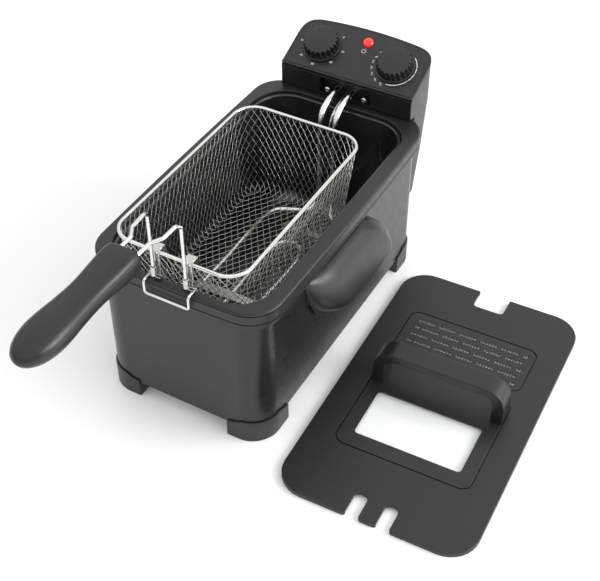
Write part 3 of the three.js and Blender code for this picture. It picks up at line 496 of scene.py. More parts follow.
def piece(name, skin, material, body, replaces=(), place=FRYER, sharp=38, added=(), cutters=()):
    """A finished piece: its skin in millimetres under place, joined and cut, riding on a CAD body."""
    mesh = mesh_of(name, skin)
    obj = bpy.data.objects.new(name, mesh)
    bpy.context.scene.collection.objects.link(obj)
    combine(obj, added, "UNION")
    combine(obj, cutters, "DIFFERENCE")
    shade(obj.data, sharp)
    obj.data.materials.clear()
    obj.data.materials.append(material)
    obj.matrix_world = place
    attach(obj, body)
    even = obj.modifiers.new("even", "WEIGHTED_NORMAL")
    even.keep_sharp = True
    even.weight = 90
    if replaces:
        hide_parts(*replaces)
    return obj


def combine(obj, skins, operation):
    """Joins each skin to obj, or cuts it out of obj, for good."""
    for skin in skins:
        cutter = bpy.data.objects.new("cutter", mesh_of("cutter", skin))
        bpy.context.scene.collection.objects.link(cutter)
        modifier = obj.modifiers.new("combine", "BOOLEAN")
        modifier.operation = operation
        modifier.solver = "EXACT"
        modifier.object = cutter
        bpy.context.view_layer.update()
        cut_mesh = bpy.data.meshes.new_from_object(obj.evaluated_get(bpy.context.evaluated_depsgraph_get()))
        obj.modifiers.clear()
        old_mesh = obj.data
        cut_mesh.name = old_mesh.name
        obj.data = cut_mesh
        bpy.data.meshes.remove(old_mesh)
        cutter_mesh = cutter.data
        bpy.data.objects.remove(cutter)
        bpy.data.meshes.remove(cutter_mesh)


def dress(material, *nodes):
    """Gives CAD nodes that stay in view their material, with smooth shading where they curve."""
    for name in nodes:
        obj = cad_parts[name]
        obj.data.materials.clear()
        obj.data.materials.append(material)
        shade(obj.data, 30)


# ------------------------------------------------------------------ curves and sheets
def arc(start, end, centre, steps=5):
    """Points of the shorter arc from start to end about centre."""
    start_angle = math.atan2(start[1] - centre[1], start[0] - centre[0])
    end_angle = math.atan2(end[1] - centre[1], end[0] - centre[0])
    turn = (end_angle - start_angle + math.pi) % (2 * math.pi) - math.pi
    radius = math.hypot(start[0] - centre[0], start[1] - centre[1])
    points = []
    for step in range(steps + 1):
        angle = start_angle + turn * step / steps
        points.append((centre[0] + radius * math.cos(angle), centre[1] + radius * math.sin(angle)))
    return points


def bezier(controls, steps):
    """Points of a Bezier curve of any degree, both ends included."""
    made = []
    for step in range(steps + 1):
        level = [Vector(control) for control in controls]
        while len(level) > 1:
            level = [a.lerp(b, step / steps) for a, b in zip(level, level[1:])]
        made.append(level[0])
    return made


def smooth_path(points, per_span=6):
    """Centripetal Catmull-Rom curve through points."""
    points = [Vector(point) for point in points]
    ends = [points[0] * 2 - points[1]] + points + [points[-1] * 2 - points[-2]]
    made = []
    for i in range(1, len(ends) - 2):
        a, b, c, d = ends[i - 1:i + 3]
        t1 = (b - a).length ** 0.5
        t2 = t1 + (c - b).length ** 0.5
        t3 = t2 + (d - c).length ** 0.5
        for step in range(per_span):
            t = t1 + (t2 - t1) * step / per_span
            ab = a.lerp(b, t / t1)
            bc = b.lerp(c, (t - t1) / (t2 - t1))
            cd = c.lerp(d, (t - t2) / (t3 - t2))
            abc = ab.lerp(bc, t / t2)
            bcd = bc.lerp(cd, (t - t1) / (t3 - t1))
            made.append(abc.lerp(bcd, (t - t1) / (t2 - t1)))
    return made + [points[-1]]


def edge_profile(low, high, edge, steps=3):
    """Rounded edge of a sheet between two heights, as (inset, z)."""
    foot = arc((edge, low), (0, low + edge), (edge, low + edge), steps)
    head = arc((0, high - edge), (edge, high), (edge, high - edge), steps)
    return foot + head


def pierced(border, holes, border_profile, hole_profile=None):
    """Flat sheet with holes in it. Every outline runs counter-clockwise and has its edge profile."""
    points, faces, feet, heads = [], [], [], []
    rims = [(border, border_profile, 1)] + [(hole, hole_profile or border_profile, -1) for hole in holes]
    for outline, profile, side in rims:
        base = len(points)
        rim_points, rim_faces = stack(outline, [(inset * side, z) for inset, z in profile], caps=False)
        points.extend(rim_points)
        faces.extend(tuple(base + index for index in face) for face in rim_faces)
        feet.append(range(base, base + len(outline)))
        heads.append(range(len(points) - len(outline), len(points)))
    for loops in (feet, heads):
        order = [index for loop in loops for index in loop]
        flat = [[Vector(points[index]) for index in loop] for loop in loops]
        faces.extend(tuple(order[i] for i in triangle) for triangle in tessellate_polygon(flat))
    return points, faces


def oblong(sizes, grow=0.0, steps=8):
    """Rounded rectangle across x = 0, between the front and back that its sizes name."""
    front, back, radius = sizes["front"], sizes["back"], sizes["radius"]
    width, length = 2 * (sizes["half"] + grow), back - front + 2 * grow
    return rounded_outline(width, length, radius + grow, centre=(0, (front + back) / 2), steps=steps)


def upright(skin):
    """Turns a skin drawn in (y, z) and raised along its own z into one raised along x."""
    return moved(skin, Matrix(((0, 0, 1, 0), (1, 0, 0, 0), (0, 1, 0, 0), (0, 0, 0, 1))))


def rod(x, z, radius, start, end, steps=28):
    """Round bar along y with softened ends."""
    soft = min(0.4, radius * 0.3)
    profile = [(radius - soft, 0), (radius, soft), (radius, end - start - soft), (radius - soft, end - start)]
    return shifted(rolled(turned(profile, steps), "X", -90), x, start, z)


# ------------------------------------------------------------------ housing
def housing_skin():
    outline = rounded_outline(HOUSING["width"], HOUSING["length"], HOUSING["radius"])
    low, top, wall = HOUSING["bottom"], HOUSING["top"], HOUSING["wall"]
    outside = [(0.2, low), (0, low + 0.3), (0, top - 0.3), (0.2, top)]
    inside = [(wall - 0.2, top), (wall, top - 0.3), (wall, low + 0.3), (wall - 0.2, low)]
    return stack(outline, outside + inside, loop=True)


def ring(outline, inset, z):
    return [(point.x, point.y, z) for point in inset_outline(outline, inset)]


def collar_skin():
    """Rim moulding: recessed lower band, fine groove, rounded shoulder, and a mouth with a ledge in it."""
    outer = rounded_outline(COLLAR["width"], COLLAR["length"], COLLAR["radius"], COLLAR["bow"], side_steps=12)
    mouth = rounded_outline(COLLAR["mouth_width"], COLLAR["mouth_length"], COLLAR["mouth_radius"],
                            centre=(0, COLLAR["mouth_y"]), side_steps=12)
    low, band, top = COLLAR["bottom"], COLLAR["groove"], COLLAR["top"]
    step, ledge, throat = COLLAR["inset"], COLLAR["ledge"], COLLAR["throat"]
    shoulder, lip = COLLAR["shoulder"], COLLAR["lip"]
    lower_band = [(step + 0.3, low), (step, low + 0.3), (step, band - 0.6), (step - 0.4, band - 0.1)]
    band_top = [(0.4, band), (0, band + 0.4)]
    lower_groove = [(0, band + 1.2), (1, band + 1.5), (1, band + 2.2), (0, band + 2.5)]
    upper_groove = [(0, top - 4), (0.9, top - 3.7), (0.9, top - 3.1), (0, top - 2.8)]
    outside = lower_band + band_top + lower_groove + upper_groove
    outside += arc((0, top - shoulder), (shoulder, top), (shoulder, top - shoulder))
    inside = arc((-lip, top), (0, top - lip), (-lip, top - lip), 4)
    inside += [(0, ledge + 0.4), (0.4, ledge), (throat - 0.4, ledge), (throat, ledge - 0.4)]
    inside += [(throat, low + 0.3), (throat - 0.3, low)]
    rings = [ring(outer, *point) for point in outside] + [ring(mouth, *point) for point in inside]
    return loft(rings, loop=True)


def foot_height(distance):
    """Height of a foot's wall at a distance from its nearer end: a rounded end, then an S-shaped rise."""
    share = min(max((distance - 6) / 14, 0), 1)
    height = FOOT["end_height"] + (FOOT["height"] - FOOT["end_height"]) * share * share * (3 - 2 * share)
    corner = 1 - min(distance / 4, 1)
    return height - 3.5 * (1 - math.sqrt(1 - corner * corner))


def foot_skin():
    """Foot at the corner with positive x and negative y, swept round the housing."""
    half_x = HOUSING["width"] / 2 + FOOT["proud"]
    half_y = HOUSING["length"] / 2 + FOOT["proud"]
    radius = HOUSING["radius"] + FOOT["proud"]
    front_run = FOOT["front"] + FOOT["proud"] - radius
    side_run = FOOT["side"] + FOOT["proud"] - radius
    bend = radius * math.pi / 2
    total = front_run + bend + side_run
    near_end = [0, 0.25, 0.6, 1, 1.6, 2.4, 3.2, 4]
    middle = [4 + (total - 8) * step / 44 for step in range(1, 44)]
    stations = near_end + middle + [total - distance for distance in reversed(near_end)]
    gap, seat = FOOT["proud"] - 0.3, HOUSING["bottom"] - 0.5
    rings = []
    for along in stations:
        turn = min(max((along - front_run) / radius, 0), math.pi / 2)
        outward = Vector((math.sin(turn), -math.cos(turn)))
        base = Vector((half_x - radius, -half_y + radius)) + outward * radius
        base.x -= max(front_run - along, 0)
        base.y += max(along - front_run - bend, 0)
        end = min(along, total - along)
        height = foot_height(end)
        soft = 0.6 * max(1 - end / 0.6, 0) ** 2
        section = [(0.6 + soft, 0), (soft, 0.6), (soft, height - 0.9), (0.25 + soft, height - 0.25),
                   (0.8, height), (gap, height), (gap, seat), (FOOT["depth"], seat), (FOOT["depth"], 0)]
        rings.append([(*(base - outward * depth), z) for depth, z in section])
    return loft(rings)


def hood_ring(turn, shrink=0.0, soft=0.0, drop=0.0):
    """Plan of the right-hand carrying handle at one height: turn runs from 0 at its foot to 90 at its top."""
    angle = math.radians(turn)
    share = math.sin(angle) ** HOOD["fullness"]
    wall = HOUSING["width"] / 2 + 0.3 + shrink
    reach = (HOOD["reach"] - 0.3 - 2 * shrink) * math.cos(angle) ** HOOD["fullness"] - soft
    z = HOOD["bottom"] + (HOOD["top"] - HOOD["bottom"] - shrink) * share - drop
    front = HOOD["nose"] - HOOD["undercut"] * (1 - (1 - share) ** 2.2) ** 0.8 + shrink + soft
    back = HOOD["tail"] + HOOD["sweep"] * (1 - share * share) ** 0.8 - shrink - soft
    front_round, back_round = HOOD["front_round"] + 14 * share, HOOD["back_round"]
    points = []
    for step in range(15):
        bend = math.pi / 2 * step / 14
        points.append((wall + reach * math.sin(bend), front + front_round * (1 - math.cos(bend)), z))
    straight_start, straight_end = front + front_round, back - back_round
    for step in range(1, 8):
        points.append((wall + reach, straight_start + (straight_end - straight_start) * step / 8, z))
    for step in range(13):
        bend = math.pi / 2 * step / 12
        points.append((wall + reach * math.cos(bend), straight_end + back_round * math.sin(bend), z))
    for step in range(1, 10):
        points.append((wall, back + (front - back) * step / 10, z))
    return points


def hood_skin():
    """Hollow hood, open underneath: inside from the top down, lip, then outside from the lip up."""
    turns = [0, 4, 9, 15, 22, 30, 38, 46, 54, 62, 69, 75, 80, 84, 87, 89]
    inside = [hood_ring(turn, HOOD["skin"]) for turn in reversed(turns)]
    inside.append(hood_ring(0, HOOD["skin"], soft=-0.5, drop=0.4))
    lip = [hood_ring(0, 0, soft=0.7, drop=0.4), hood_ring(0, 0, soft=0.1, drop=0.1)]
    outside = [hood_ring(turn) for turn in turns[1:]]
    return loft(inside + lip + outside)


def claw_skin():
    """Hooked tip left by the handle's back plate below its front end."""
    wall = HOUSING["width"] / 2
    front = bezier([(-88, 134), (-84, 112), (-69, 99)], 10)
    back = bezier([(-69, 99), (-66, 108), (-58, 112)], 8)
    outline = front + back[1:] + [Vector((-62, 134))]
    return upright(stack(outline, edge_profile(wall + 0.3, wall + 4, 0.5)))


def make_housing():
    piece("housing_body", housing_skin(), COAT, "housing", ["housing_shell"])
    piece("rim_collar", collar_skin(), PLASTIC, "housing", ["collar"])
    for side, x in SIDES:
        for end, y in (("front", 1), ("rear", -1)):
            skin = mirrored(foot_skin(), x, y)
            piece(f"corner_foot_{end}_{side}", skin, PLASTIC, "housing",
                  [f"foot_{end}_{side}"])
        skin, claw = mirrored(hood_skin(), x), mirrored(claw_skin(), x)
        piece(f"carry_handle_{side}", skin, PLASTIC, "housing", [f"side_handle_{side}"],
              sharp=50, added=[claw])
    dress(STEEL, "base_plate")
    dress(BLACK, "guide_rail_left", "guide_rail_right")


# ------------------------------------------------------------------ oil tank
def tank_ring(inset, z):
    share = (TANK["top"] - z) / (TANK["top"] - TANK["floor"])
    scale_x = 1 + (TANK["scale_x"] - 1) * share
    scale_y = 1 + (TANK["scale_y"] - 1) * share
    outline = inset_outline(rounded_outline(TANK["width"], TANK["length"], TANK["radius"]), inset)
    return [(p.x * scale_x, p.y * scale_y + COLLAR["mouth_y"], z) for p in outline]


def tank_skin():
    """Deep-drawn tank with a turned-out rim and a round sweep from wall to floor."""
    floor, top, wall, sweep, rim = TANK["floor"], TANK["top"], TANK["wall"], TANK["sweep"], TANK["flange"]
    outside = arc((sweep, floor), (0, floor + sweep), (sweep, floor + sweep), 8)
    outside += [(0, floor + (top - floor) * step / 6) for step in range(2, 6)]
    outside += [(0, top - 1.9), (-0.4, top - 1.5)]
    rim_edge = arc((-rim + 0.7, top - 1.4), (-rim + 0.7, top), (-rim + 0.7, top - 0.7), 6)
    bend = arc((-0.9, top), (wall, top - 1.9), (-0.9, top - 1.9), 6)
    inside = [(wall, floor + (top - floor) * step / 6) for step in range(5, 1, -1)]
    inside += arc((wall, floor + sweep), (sweep, floor + wall), (sweep, floor + sweep), 8)
    profile = outside + rim_edge + bend + inside
    return loft([tank_ring(inset, z) for inset, z in profile])


# ------------------------------------------------------------------ control head
def head_outline(front, back, inset=0.0):
    """Plan of the head: crisp in front, wide round corners and a slight bow at the back."""
    half = HEAD["width"] / 2 - inset
    front, back = front + inset, back - inset
    corners = [(-half, back - 30), (-half, front), (half, front), (half, back - 30)]
    nose = round_corners(corners, 1.6, 4, closed=False)[1:-1]
    right = bezier([(half, back - 28), (half, back - 9), (half - 10, back - 4.5), (half - 26, back - 3)], 14)
    bow = bezier([(half - 26, back - 3), (0, back + 3), (26 - half, back - 3)], 12)[1:-1]
    left = [Vector((-point.x, point.y)) for point in reversed(right)]
    return nose + right + bow + left


def panel_height(y, below=0.0):
    return HEAD["front_z"] + (y - HEAD["front"]) * HEAD["slope"] - below


def head_skin(inset, low_front, high_front, bottom, below_panel):
    """Head body from its narrow foot up to a plane some way below the panel's face."""
    back_line = smooth_path([(225.5, 81.5), (230, 100), (237, 125), (243, 157), (249.5, 195)], 5)
    levels = [(bottom, 3.0, 222), (bottom + 0.6, 1.2, 223), (bottom + 2.6, 0.0, 224)]
    levels += [(point[1], 0.0, point[0]) for point in back_line if bottom + 4 < point[1] < HEAD["step_z"] - 2]
    rings = []
    for z, round_in, back in levels:
        rings.append([(p.x, p.y, z) for p in head_outline(low_front, back, inset + round_in)])
    step, edge = HEAD["step_z"] + inset, 0.6
    step_corners = [(step - edge, low_front), (step, low_front - edge), (step, high_front + edge),
                    (step + edge, high_front)]
    for z, front in step_corners:
        rings.append([(p.x, p.y, z) for p in head_outline(front, 249.2, inset)])
    top = head_outline(high_front, HEAD["back"], inset)
    rings.append([(p.x, p.y, panel_height(p.y, below_panel)) for p in top])
    return loft(rings)


def head_cutters():
    """Everything hollowed out of the head: inside, element's recess, and ways through the walls."""
    inside = head_skin(HEAD["wall"], HEAD["step_y"], HEAD["step_y"], HEAD["bottom"] + HEAD["wall"], -12)
    plate_recess = block((-33, 165, 194.2), (33, 189.6, 214.5), 0.8)
    tube_way = block((-20, 187, 197), (20, 200, 213), 0.5)
    inlet_way = block((-14.8, 212, 99.7), (14.8, 270, 120.3), 0.5)
    reset_way = rod(RESET["x"], RESET["z"], RESET["radius"] + 0.4, 222, 262)
    cutters = [inside, plate_recess, tube_way, inlet_way, reset_way]
    for side in (-1, 1):
        unit_x, rail_x = side * KNOB["x"], side * 55
        cutters.append(block((unit_x - 18.5, 184, 199), (unit_x + 18.5, 200, 262), 0.5))
        cutters.append(block((rail_x - 6.6, 180, 60), (rail_x + 6.6, 197.6, 166), 0.3))
    return cutters


def panel_outline():
    """The head's plan laid on its sloping top, as (across, up the slope)."""
    lean = math.cos(panel_angle)
    return [Vector((p.x, (p.y - HEAD["front"]) / lean)) for p in head_outline(HEAD["front"], HEAD["back"])]


def panel_skin():
    """Panel with softened edges and a fine border groove, pierced for both shafts and the lamp."""
    border = [(0.4, -HEAD["panel"]), (0, -HEAD["panel"] + 0.4), (0, -0.9), (0.3, -0.25), (0.9, 0),
              (2.7, 0), (2.85, -0.35), (3.1, -0.35), (3.25, 0)]
    hole = [(0.3, -HEAD["panel"]), (0, -HEAD["panel"] + 0.3), (0, -0.3), (0.3, 0)]
    ways = [(-KNOB["x"], KNOB["along"], 3.6), (KNOB["x"], KNOB["along"], 3.6),
            (LAMP["x"], LAMP["along"], LAMP["radius"] + 0.2)]
    holes = []
    for x, along, radius in ways:
        hole_points = []
        for step in range(32):
            turn = 2 * math.pi * step / 32
            hole_points.append(Vector((x + radius * math.cos(turn), along + radius * math.sin(turn))))
        holes.append(hole_points)
    return pierced(panel_outline(), holes, border, hole)


def knob_skin():
    """Dial: flat skirt ring, fluted wall leaning inwards, scalloped rim and a smooth shallow dome."""
    r, top, flutes = KNOB["radius"], KNOB["height"], KNOB["flutes"]
    skirt = [(r - 0.8, 0.6, 0), (r, 0.9, 0), (r, 1.8, 0), (r - 0.4, 2.2, 0)]
    wall = [(r - 1.5, 2.3, 1.6), (r - 1.6, 4, 2.6), (r - 2.0, 7.5, 2.6), (r - 2.3, 10.8, 2.5)]
    rim = [(r - 2.4, 11.8, 2.3), (r - 2.7, 12.6, 1.9), (r - 3.6, 13.2, 1.1), (r - 5.6, 13.7, 0.1)]
    dome = [(r * 0.5, top - 0.6, 0), (r * 0.25, top - 0.15, 0), (0.6, top, 0)]
    rings = []
    for radius, z, depth in skirt + wall + rim + dome:
        points = []
        for step in range(flutes * 8):
            angle = 2 * math.pi * step / (flutes * 8)
            wave = (0.5 - 0.5 * math.cos(flutes * angle)) ** 0.8
            reach = radius - depth * wave
            points.append((reach * math.cos(angle), reach * math.sin(angle), z))
        rings.append(points)
    return loft(rings)


def text_skin(text, size):
    """Thin raised characters about the origin."""
    curve = bpy.data.curves.new("characters", "FONT")
    curve.body = text
    curve.size = size * MM
    curve.align_x = "CENTER"
    curve.align_y = "CENTER"
    curve.extrude = 0.05 * MM
    curve.resolution_u = 4
    source = bpy.data.objects.new("characters", curve)
    bpy.context.scene.collection.objects.link(source)
    bpy.context.view_layer.update()
    mesh = bpy.data.meshes.new_from_object(source.evaluated_get(bpy.context.evaluated_depsgraph_get()))
    tidy = bmesh.new()
    tidy.from_mesh(mesh)
    bmesh.ops.remove_doubles(tidy, verts=tidy.verts, dist=0.02 * MM)
    points = [tuple(vertex.co / MM) for vertex in tidy.verts]
    tidy.verts.index_update()
    faces = [tuple(vertex.index for vertex in face.verts) for face in tidy.faces]
    tidy.free()
    bpy.data.objects.remove(source)
    bpy.data.curves.remove(curve)
    bpy.data.meshes.remove(mesh)
    return points, faces


def band_skin(radius, width, start, end, low=0.02, high=0.14):
    """Flat band along an arc given in degrees."""
    steps = max(2, round(abs(end - start) / 4))
    rings = []
    for step in range(steps + 1):
        angle = math.radians(start + (end - start) * step / steps)
        inner, outer = radius - width / 2, radius + width / 2
        corners = [(inner, low), (outer, low), (outer, high), (inner, high)]
        rings.append([(reach * math.cos(angle), reach * math.sin(angle), z) for reach, z in corners])
    return loft(rings)


def around_dial(sign, numbers, radius, size, tilt):
    """Numbers round a dial, each (number, degrees). tilt is how far each turns to follow the circle."""
    skins = []
    for number, degrees in numbers:
        angle = math.radians(degrees)
        turned_by = (degrees + 90 if degrees > 180 else degrees - 90) * tilt
        skin = rolled(text_skin(str(number), size), "Z", turned_by)
        x = sign * KNOB["x"] + radius * math.cos(angle)
        along = KNOB["along"] + radius * math.sin(angle)
        skins.append(shifted(skin, x, along, 0.07))
    return skins


def print_skins():
    """White print on the panel: minutes, temperatures, the heat band and a power symbol."""
    minute_places = [(0, 45), (10, 0), (20, -42), (30, 270), (40, 227), (50, 180), (60, 135)]
    heat_places = [(130, 257), (140, 238), (150, 218), (160, 200), (170, 182), (180, 167), (190, 150)]
    minutes = around_dial(-1, minute_places, 27.3, 3.9, 0)
    heats = around_dial(1, heat_places, 27.8, 3.3, 0.35)
    heat_band = []
    for start, end in ((-91, -31), (-29, -3), (-1, 14), (16, 49)):
        heat_band.append(shifted(band_skin(25.3, 0.9, start, end), KNOB["x"], KNOB["along"]))
    symbol = [band_skin(2.6, 0.55, 125, 415), block((-0.28, 0.9, 0.02), (0.28, 3.5, 0.14), 0.03)]
    symbol = [shifted(skin, LAMP["x"], LAMP["along"] - 12.5) for skin in symbol]
    return merged(minutes), merged(heats), merged(heat_band), merged(symbol)


def lamp_skin():
    r, top = LAMP["radius"], LAMP["height"]
    profile = [(r - 0.4, -2.6), (r, -2.2), (r, 0)]
    for degrees in range(0, 90, 9):
        angle = math.radians(degrees)
        profile.append((r * math.cos(angle), 0.8 + (top - 0.8) * math.sin(angle)))
    return turned(profile + [(0.2, top)], 40)


def element_path():
    """Route of the heating tube: terminal, over the rim, down, across the floor, and back the same way."""
    x, z, w, f = ELEMENT["x"], ELEMENT["floor_z"], ELEMENT["half"], ELEMENT["front"]
    over_rim = [(x, 196, 203), (x, 186, 203.7), (x, 172, 204.5), (x, 158, 202.3), (x, 146, 197)]
    down = [(x, 139, 187), (x, 137, 172), (x, 137, 130), (x, 137, 88), (x + 1, 133, 71)]
    forwards = [(x + 6, 122, z), (x + 24, 112, z), (w - 6, 102, z), (w, 84, z), (w, 0, z)]
    front_bend = [(w, f + 28, z), (w - 8, f + 4, z), (w - 20, f, z), (w - 32, f + 4, z), (w - 38, f + 28, z)]
    backwards = [(w - 38, -40, z), (w - 38, 36, z), (w - 44, 52, z)]
    half = over_rim + down + forwards + front_bend + backwards
    other_half = [(-px, py, pz) for px, py, pz in reversed(half)]
    return smooth_path(half + [(0, 58, z)] + other_half, 6)


def screw_parts():
    """Cross-head pan screw pointing down, with its head's foot at z = 0, and the two cuts of its cross."""
    shank = [(1.2, -8), (1.6, -7.5), (1.6, 0)]
    head = [(3.4, 0), (3.7, 0.3), (3.6, 1), (3, 1.7), (1.8, 2.1), (0.3, 2.2)]
    body = turned(shank + head, 28)
    cross = [block((-2, -0.45, 1), (2, 0.45, 4), 0.1), block((-0.45, -2, 1), (0.45, 2, 4), 0.1)]
    return body, cross


def pin_skin(sizes):
    """Pin that slides along y."""
    return rod(sizes["x"], sizes["z"], sizes["radius"], sizes["start"], sizes["end"])


def make_head():
    casing = head_skin(0, HEAD["step_y"], HEAD["front"], HEAD["bottom"], 3.6)
    piece("head_casing", casing, BLACK, "control_head", ["head_shell"],
          cutters=head_cutters())
    piece("dial_panel", panel_skin(), PLASTIC, "control_head", ["control_panel"], PANEL)
    for name, skin in zip(("minute_numbers", "heat_numbers", "heat_band", "power_symbol"), print_skins()):
        piece(name, skin, PRINT, "control_head", place=PANEL)
    bore = turned([(3.3, -5), (3.3, 9)], 28)
    for name, work, sign in (("timer_dial_cap", "timer", -1), ("heat_dial_cap", "thermostat", 1)):
        skin, way = (shifted(part, sign * KNOB["x"], KNOB["along"]) for part in (knob_skin(), bore))
        piece(name, skin, BLACK, f"{work}_dial", [f"{work}_knob"], PANEL, 45,
              cutters=[way])
    piece("lamp_dome", shifted(lamp_skin(), LAMP["x"], LAMP["along"]), RED, "control_head",
          ["lamp_lens"], PANEL)
    piece("element_tube", tube(element_path(), ELEMENT["tube"], 16), CHROME, "control_head",
          ["heating_element"])
    screw, cross = screw_parts()
    for side, x in SIDES:
        face = Matrix.Translation((x * SCREW["x"], SCREW["seat"], SCREW["z"]))
        turn = Matrix.Rotation(math.radians(SCREW["turn"] * x), 4, "Z")
        stand = face @ Matrix.Rotation(math.radians(90), 4, "X") @ turn
        piece(f"pan_screw_{side}", moved(screw, stand), CHROME, "control_head",
              [f"mount_screw_{side}"], cutters=[moved(skin, stand) for skin in cross])
    # The reset cap shares the lit lamp's glowing red material, so it glows as painted light though it is no
    # lamp.
    piece("reset_cap", pin_skin(RESET), RED, "reset", ["reset_button"])
    piece("switch_pin_rod", pin_skin(SWITCH_PIN), CERAMIC, "switch_pin", ["switch_plunger"])
    dress(BLACK, "element_mount_plate", "safety_switch", "power_inlet")
    dress(STEEL, "element_brace", "bulb_clip", "thermostat_bulb", "capillary_tube")
    dress(STEEL, "timer_unit", "thermostat_unit")
    dress(CERAMIC, "lamp_holder", "terminal_block", "thermal_cutout")
    dress(BRASS, "inlet_pin_left", "inlet_pin_right")


# ------------------------------------------------------------------ basket
BASKET_LENGTH = BASKET["back"] - BASKET["front"]
BASKET_Y = (BASKET["back"] + BASKET["front"]) / 2


def basket_outline(inset, z, steps=24, side_steps=30):
    """The basket's wall at one height, as evenly fine points about the fryer's middle line."""
    top = BASKET["rim_z"]
    share = (top - z) / (top - BASKET["bottom"])
    scale_x = 1 + (BASKET["scale_x"] - 1) * share
    scale_y = 1 + (BASKET["scale_y"] - 1) * share
    outline = rounded_outline(BASKET["width"], BASKET_LENGTH, BASKET["radius"],
                              steps=steps, side_steps=side_steps)
    return [Vector((p.x * scale_x, p.y * scale_y + BASKET_Y, z)) for p in inset_outline(outline, inset)]


def wall_grid():
    """Rows of points down the wall and round its foot, with the distance down to each row."""
    top, low, sweep = BASKET["rim_z"], BASKET["bottom"], BASKET["sweep"]
    profile = [(0, top - (top - low - sweep) * step / 10) for step in range(11)]
    profile += arc((0, low + sweep), (sweep, low), (sweep, low + sweep), 8)[1:]
    distances = [0.0]
    for last, following in zip(profile, profile[1:]):
        distances.append(distances[-1] + math.dist(last, following))
    return [basket_outline(inset, z) for inset, z in profile], distances


def round_shares(outline):
    """Share of the way round at which each point of a closed outline lies, ending with 1."""
    count = len(outline)
    lengths = [(outline[(i + 1) % count] - outline[i]).length for i in range(count)]
    total = sum(lengths)
    shares = [0.0]
    for length in lengths:
        shares.append(shares[-1] + length / total)
    return shares


def bracket_index(values, value):
    """Index of the rising value just below value, and the share of the way to the one after it."""
    low, high = 0, len(values) - 1
    while high - low > 1:
        middle = (low + high) // 2
        if values[middle] <= value:
            low = middle
        else:
            high = middle
    return low, (value - values[low]) / (values[low + 1] - values[low])


def wall_wires():
    """Two families of wires that slope opposite ways down the wall and pass over and under each other."""
    rows, distances = wall_grid()
    shares = round_shares(rows[0])
    count = len(rows[0])

    def on_wall(share, down):
        column, across = bracket_index(shares, share % 1.0)
        row, along = bracket_index(distances, min(down, distances[-1] - 0.001))
        a = rows[row][column].lerp(rows[row][(column + 1) % count], across)
        b = rows[row + 1][column].lerp(rows[row + 1][(column + 1) % count], across)
        around = rows[row][(column + 1) % count] - rows[row][column]
        return a.lerp(b, along), around.cross(b - a).normalized()

    wires, step_down = [], MESH["cell_height"] / 2
    crossings = distances[-1] / step_down
    samples = int(crossings * 3)
    for lean in (-1, 1):
        for number in range(MESH["wires"]):
            path = []
            for sample in range(samples + 1):
                crossing = crossings * sample / samples
                share = (number + lean * crossing / 2) / MESH["wires"]
                point, outward = on_wall(share, crossing * step_down)
                path.append(point + outward * lean * MESH["weave"] * math.cos(math.pi * crossing))
            wires.append(tube(path, MESH["wire"], MESH["sides"]))
    return wires


def floor_wires():
    """Crossing wires of the basket's floor, cut off at the foot of the wall."""
    outline = basket_outline(BASKET["sweep"], BASKET["bottom"], 8, 2)
    pitch, cell = MESH["floor_pitch"], MESH["floor_cell"]
    lean_x, lean_y = MESH["floor_lean"]
    wires = []
    for lean in (-1, 1):
        along = Vector((lean_x * lean, lean_y, 0))
        side = Vector((along.y, -along.x, 0))
        middle = Vector((0, BASKET_Y, BASKET["bottom"]))
        for number in range(-24, 25):
            start = middle + side * (number * pitch)
            ends = line_inside(start, along, outline)
            if ends is None or ends[1] - ends[0] < 6:
                continue
            cells = (ends[1] - ends[0]) / (cell / 2)
            samples = max(4, int(cells * 2))
            path = []
            for sample in range(samples + 1):
                at = ends[0] + (ends[1] - ends[0]) * sample / samples
                lift = lean * MESH["weave"] * math.cos(math.pi * (at / cell + number))
                path.append(start + along * at + Vector((0, 0, lift)))
            wires.append(tube(path, MESH["wire"], MESH["sides"]))
    return wires


def line_inside(start, along, outline):
    """Distances along a level line at which it enters and leaves a convex outline."""
    hits = []
    for last, following in zip(outline, outline[1:] + outline[:1]):
        edge = following - last
        cross = along.x * edge.y - along.y * edge.x
        if abs(cross) < 1e-9:
            continue
        offset = last - start
        distance = (offset.x * edge.y - offset.y * edge.x) / cross
        share = (offset.x * along.y - offset.y * along.x) / cross
        if 0 <= share < 1:
            hits.append(distance)
    return (min(hits), max(hits)) if len(hits) > 1 else None


def rim_skin():
    outline = rounded_outline(BASKET["width"], BASKET_LENGTH, BASKET["radius"], steps=16, side_steps=8)
    path = [(p.x, p.y + BASKET_Y, BASKET["rim_z"]) for p in outline]
    return tube(path, BASKET["wire"], 16, closed=True)


def strap(path, width, thickness):
    """Flat strip bent along a path in (y, z), centred on x = 0, with its thickness to the path's left."""
    rings = []
    for i, point in enumerate(path):
        before = (point - path[i - 1]).normalized() if i else (path[1] - point).normalized()
        after = (path[i + 1] - point).normalized() if i < len(path) - 1 else before
        heading = (before + after).normalized()
        left = Vector((-heading.y, heading.x)) * (thickness / max(0.5, heading.dot(before)))
        low, high = point, point + left
        half, soft = width / 2, thickness * 0.25
        quarter, three_quarters = low.lerp(high, 0.25), low.lerp(high, 0.75)
        corners = [(-half + soft, low), (half - soft, low), (half, quarter), (half, three_quarters),
                   (half - soft, high), (-half + soft, high), (-half, three_quarters), (-half, quarter)]
        rings.append([(x, at.x, at.y) for x, at in corners])
    return loft(rings)


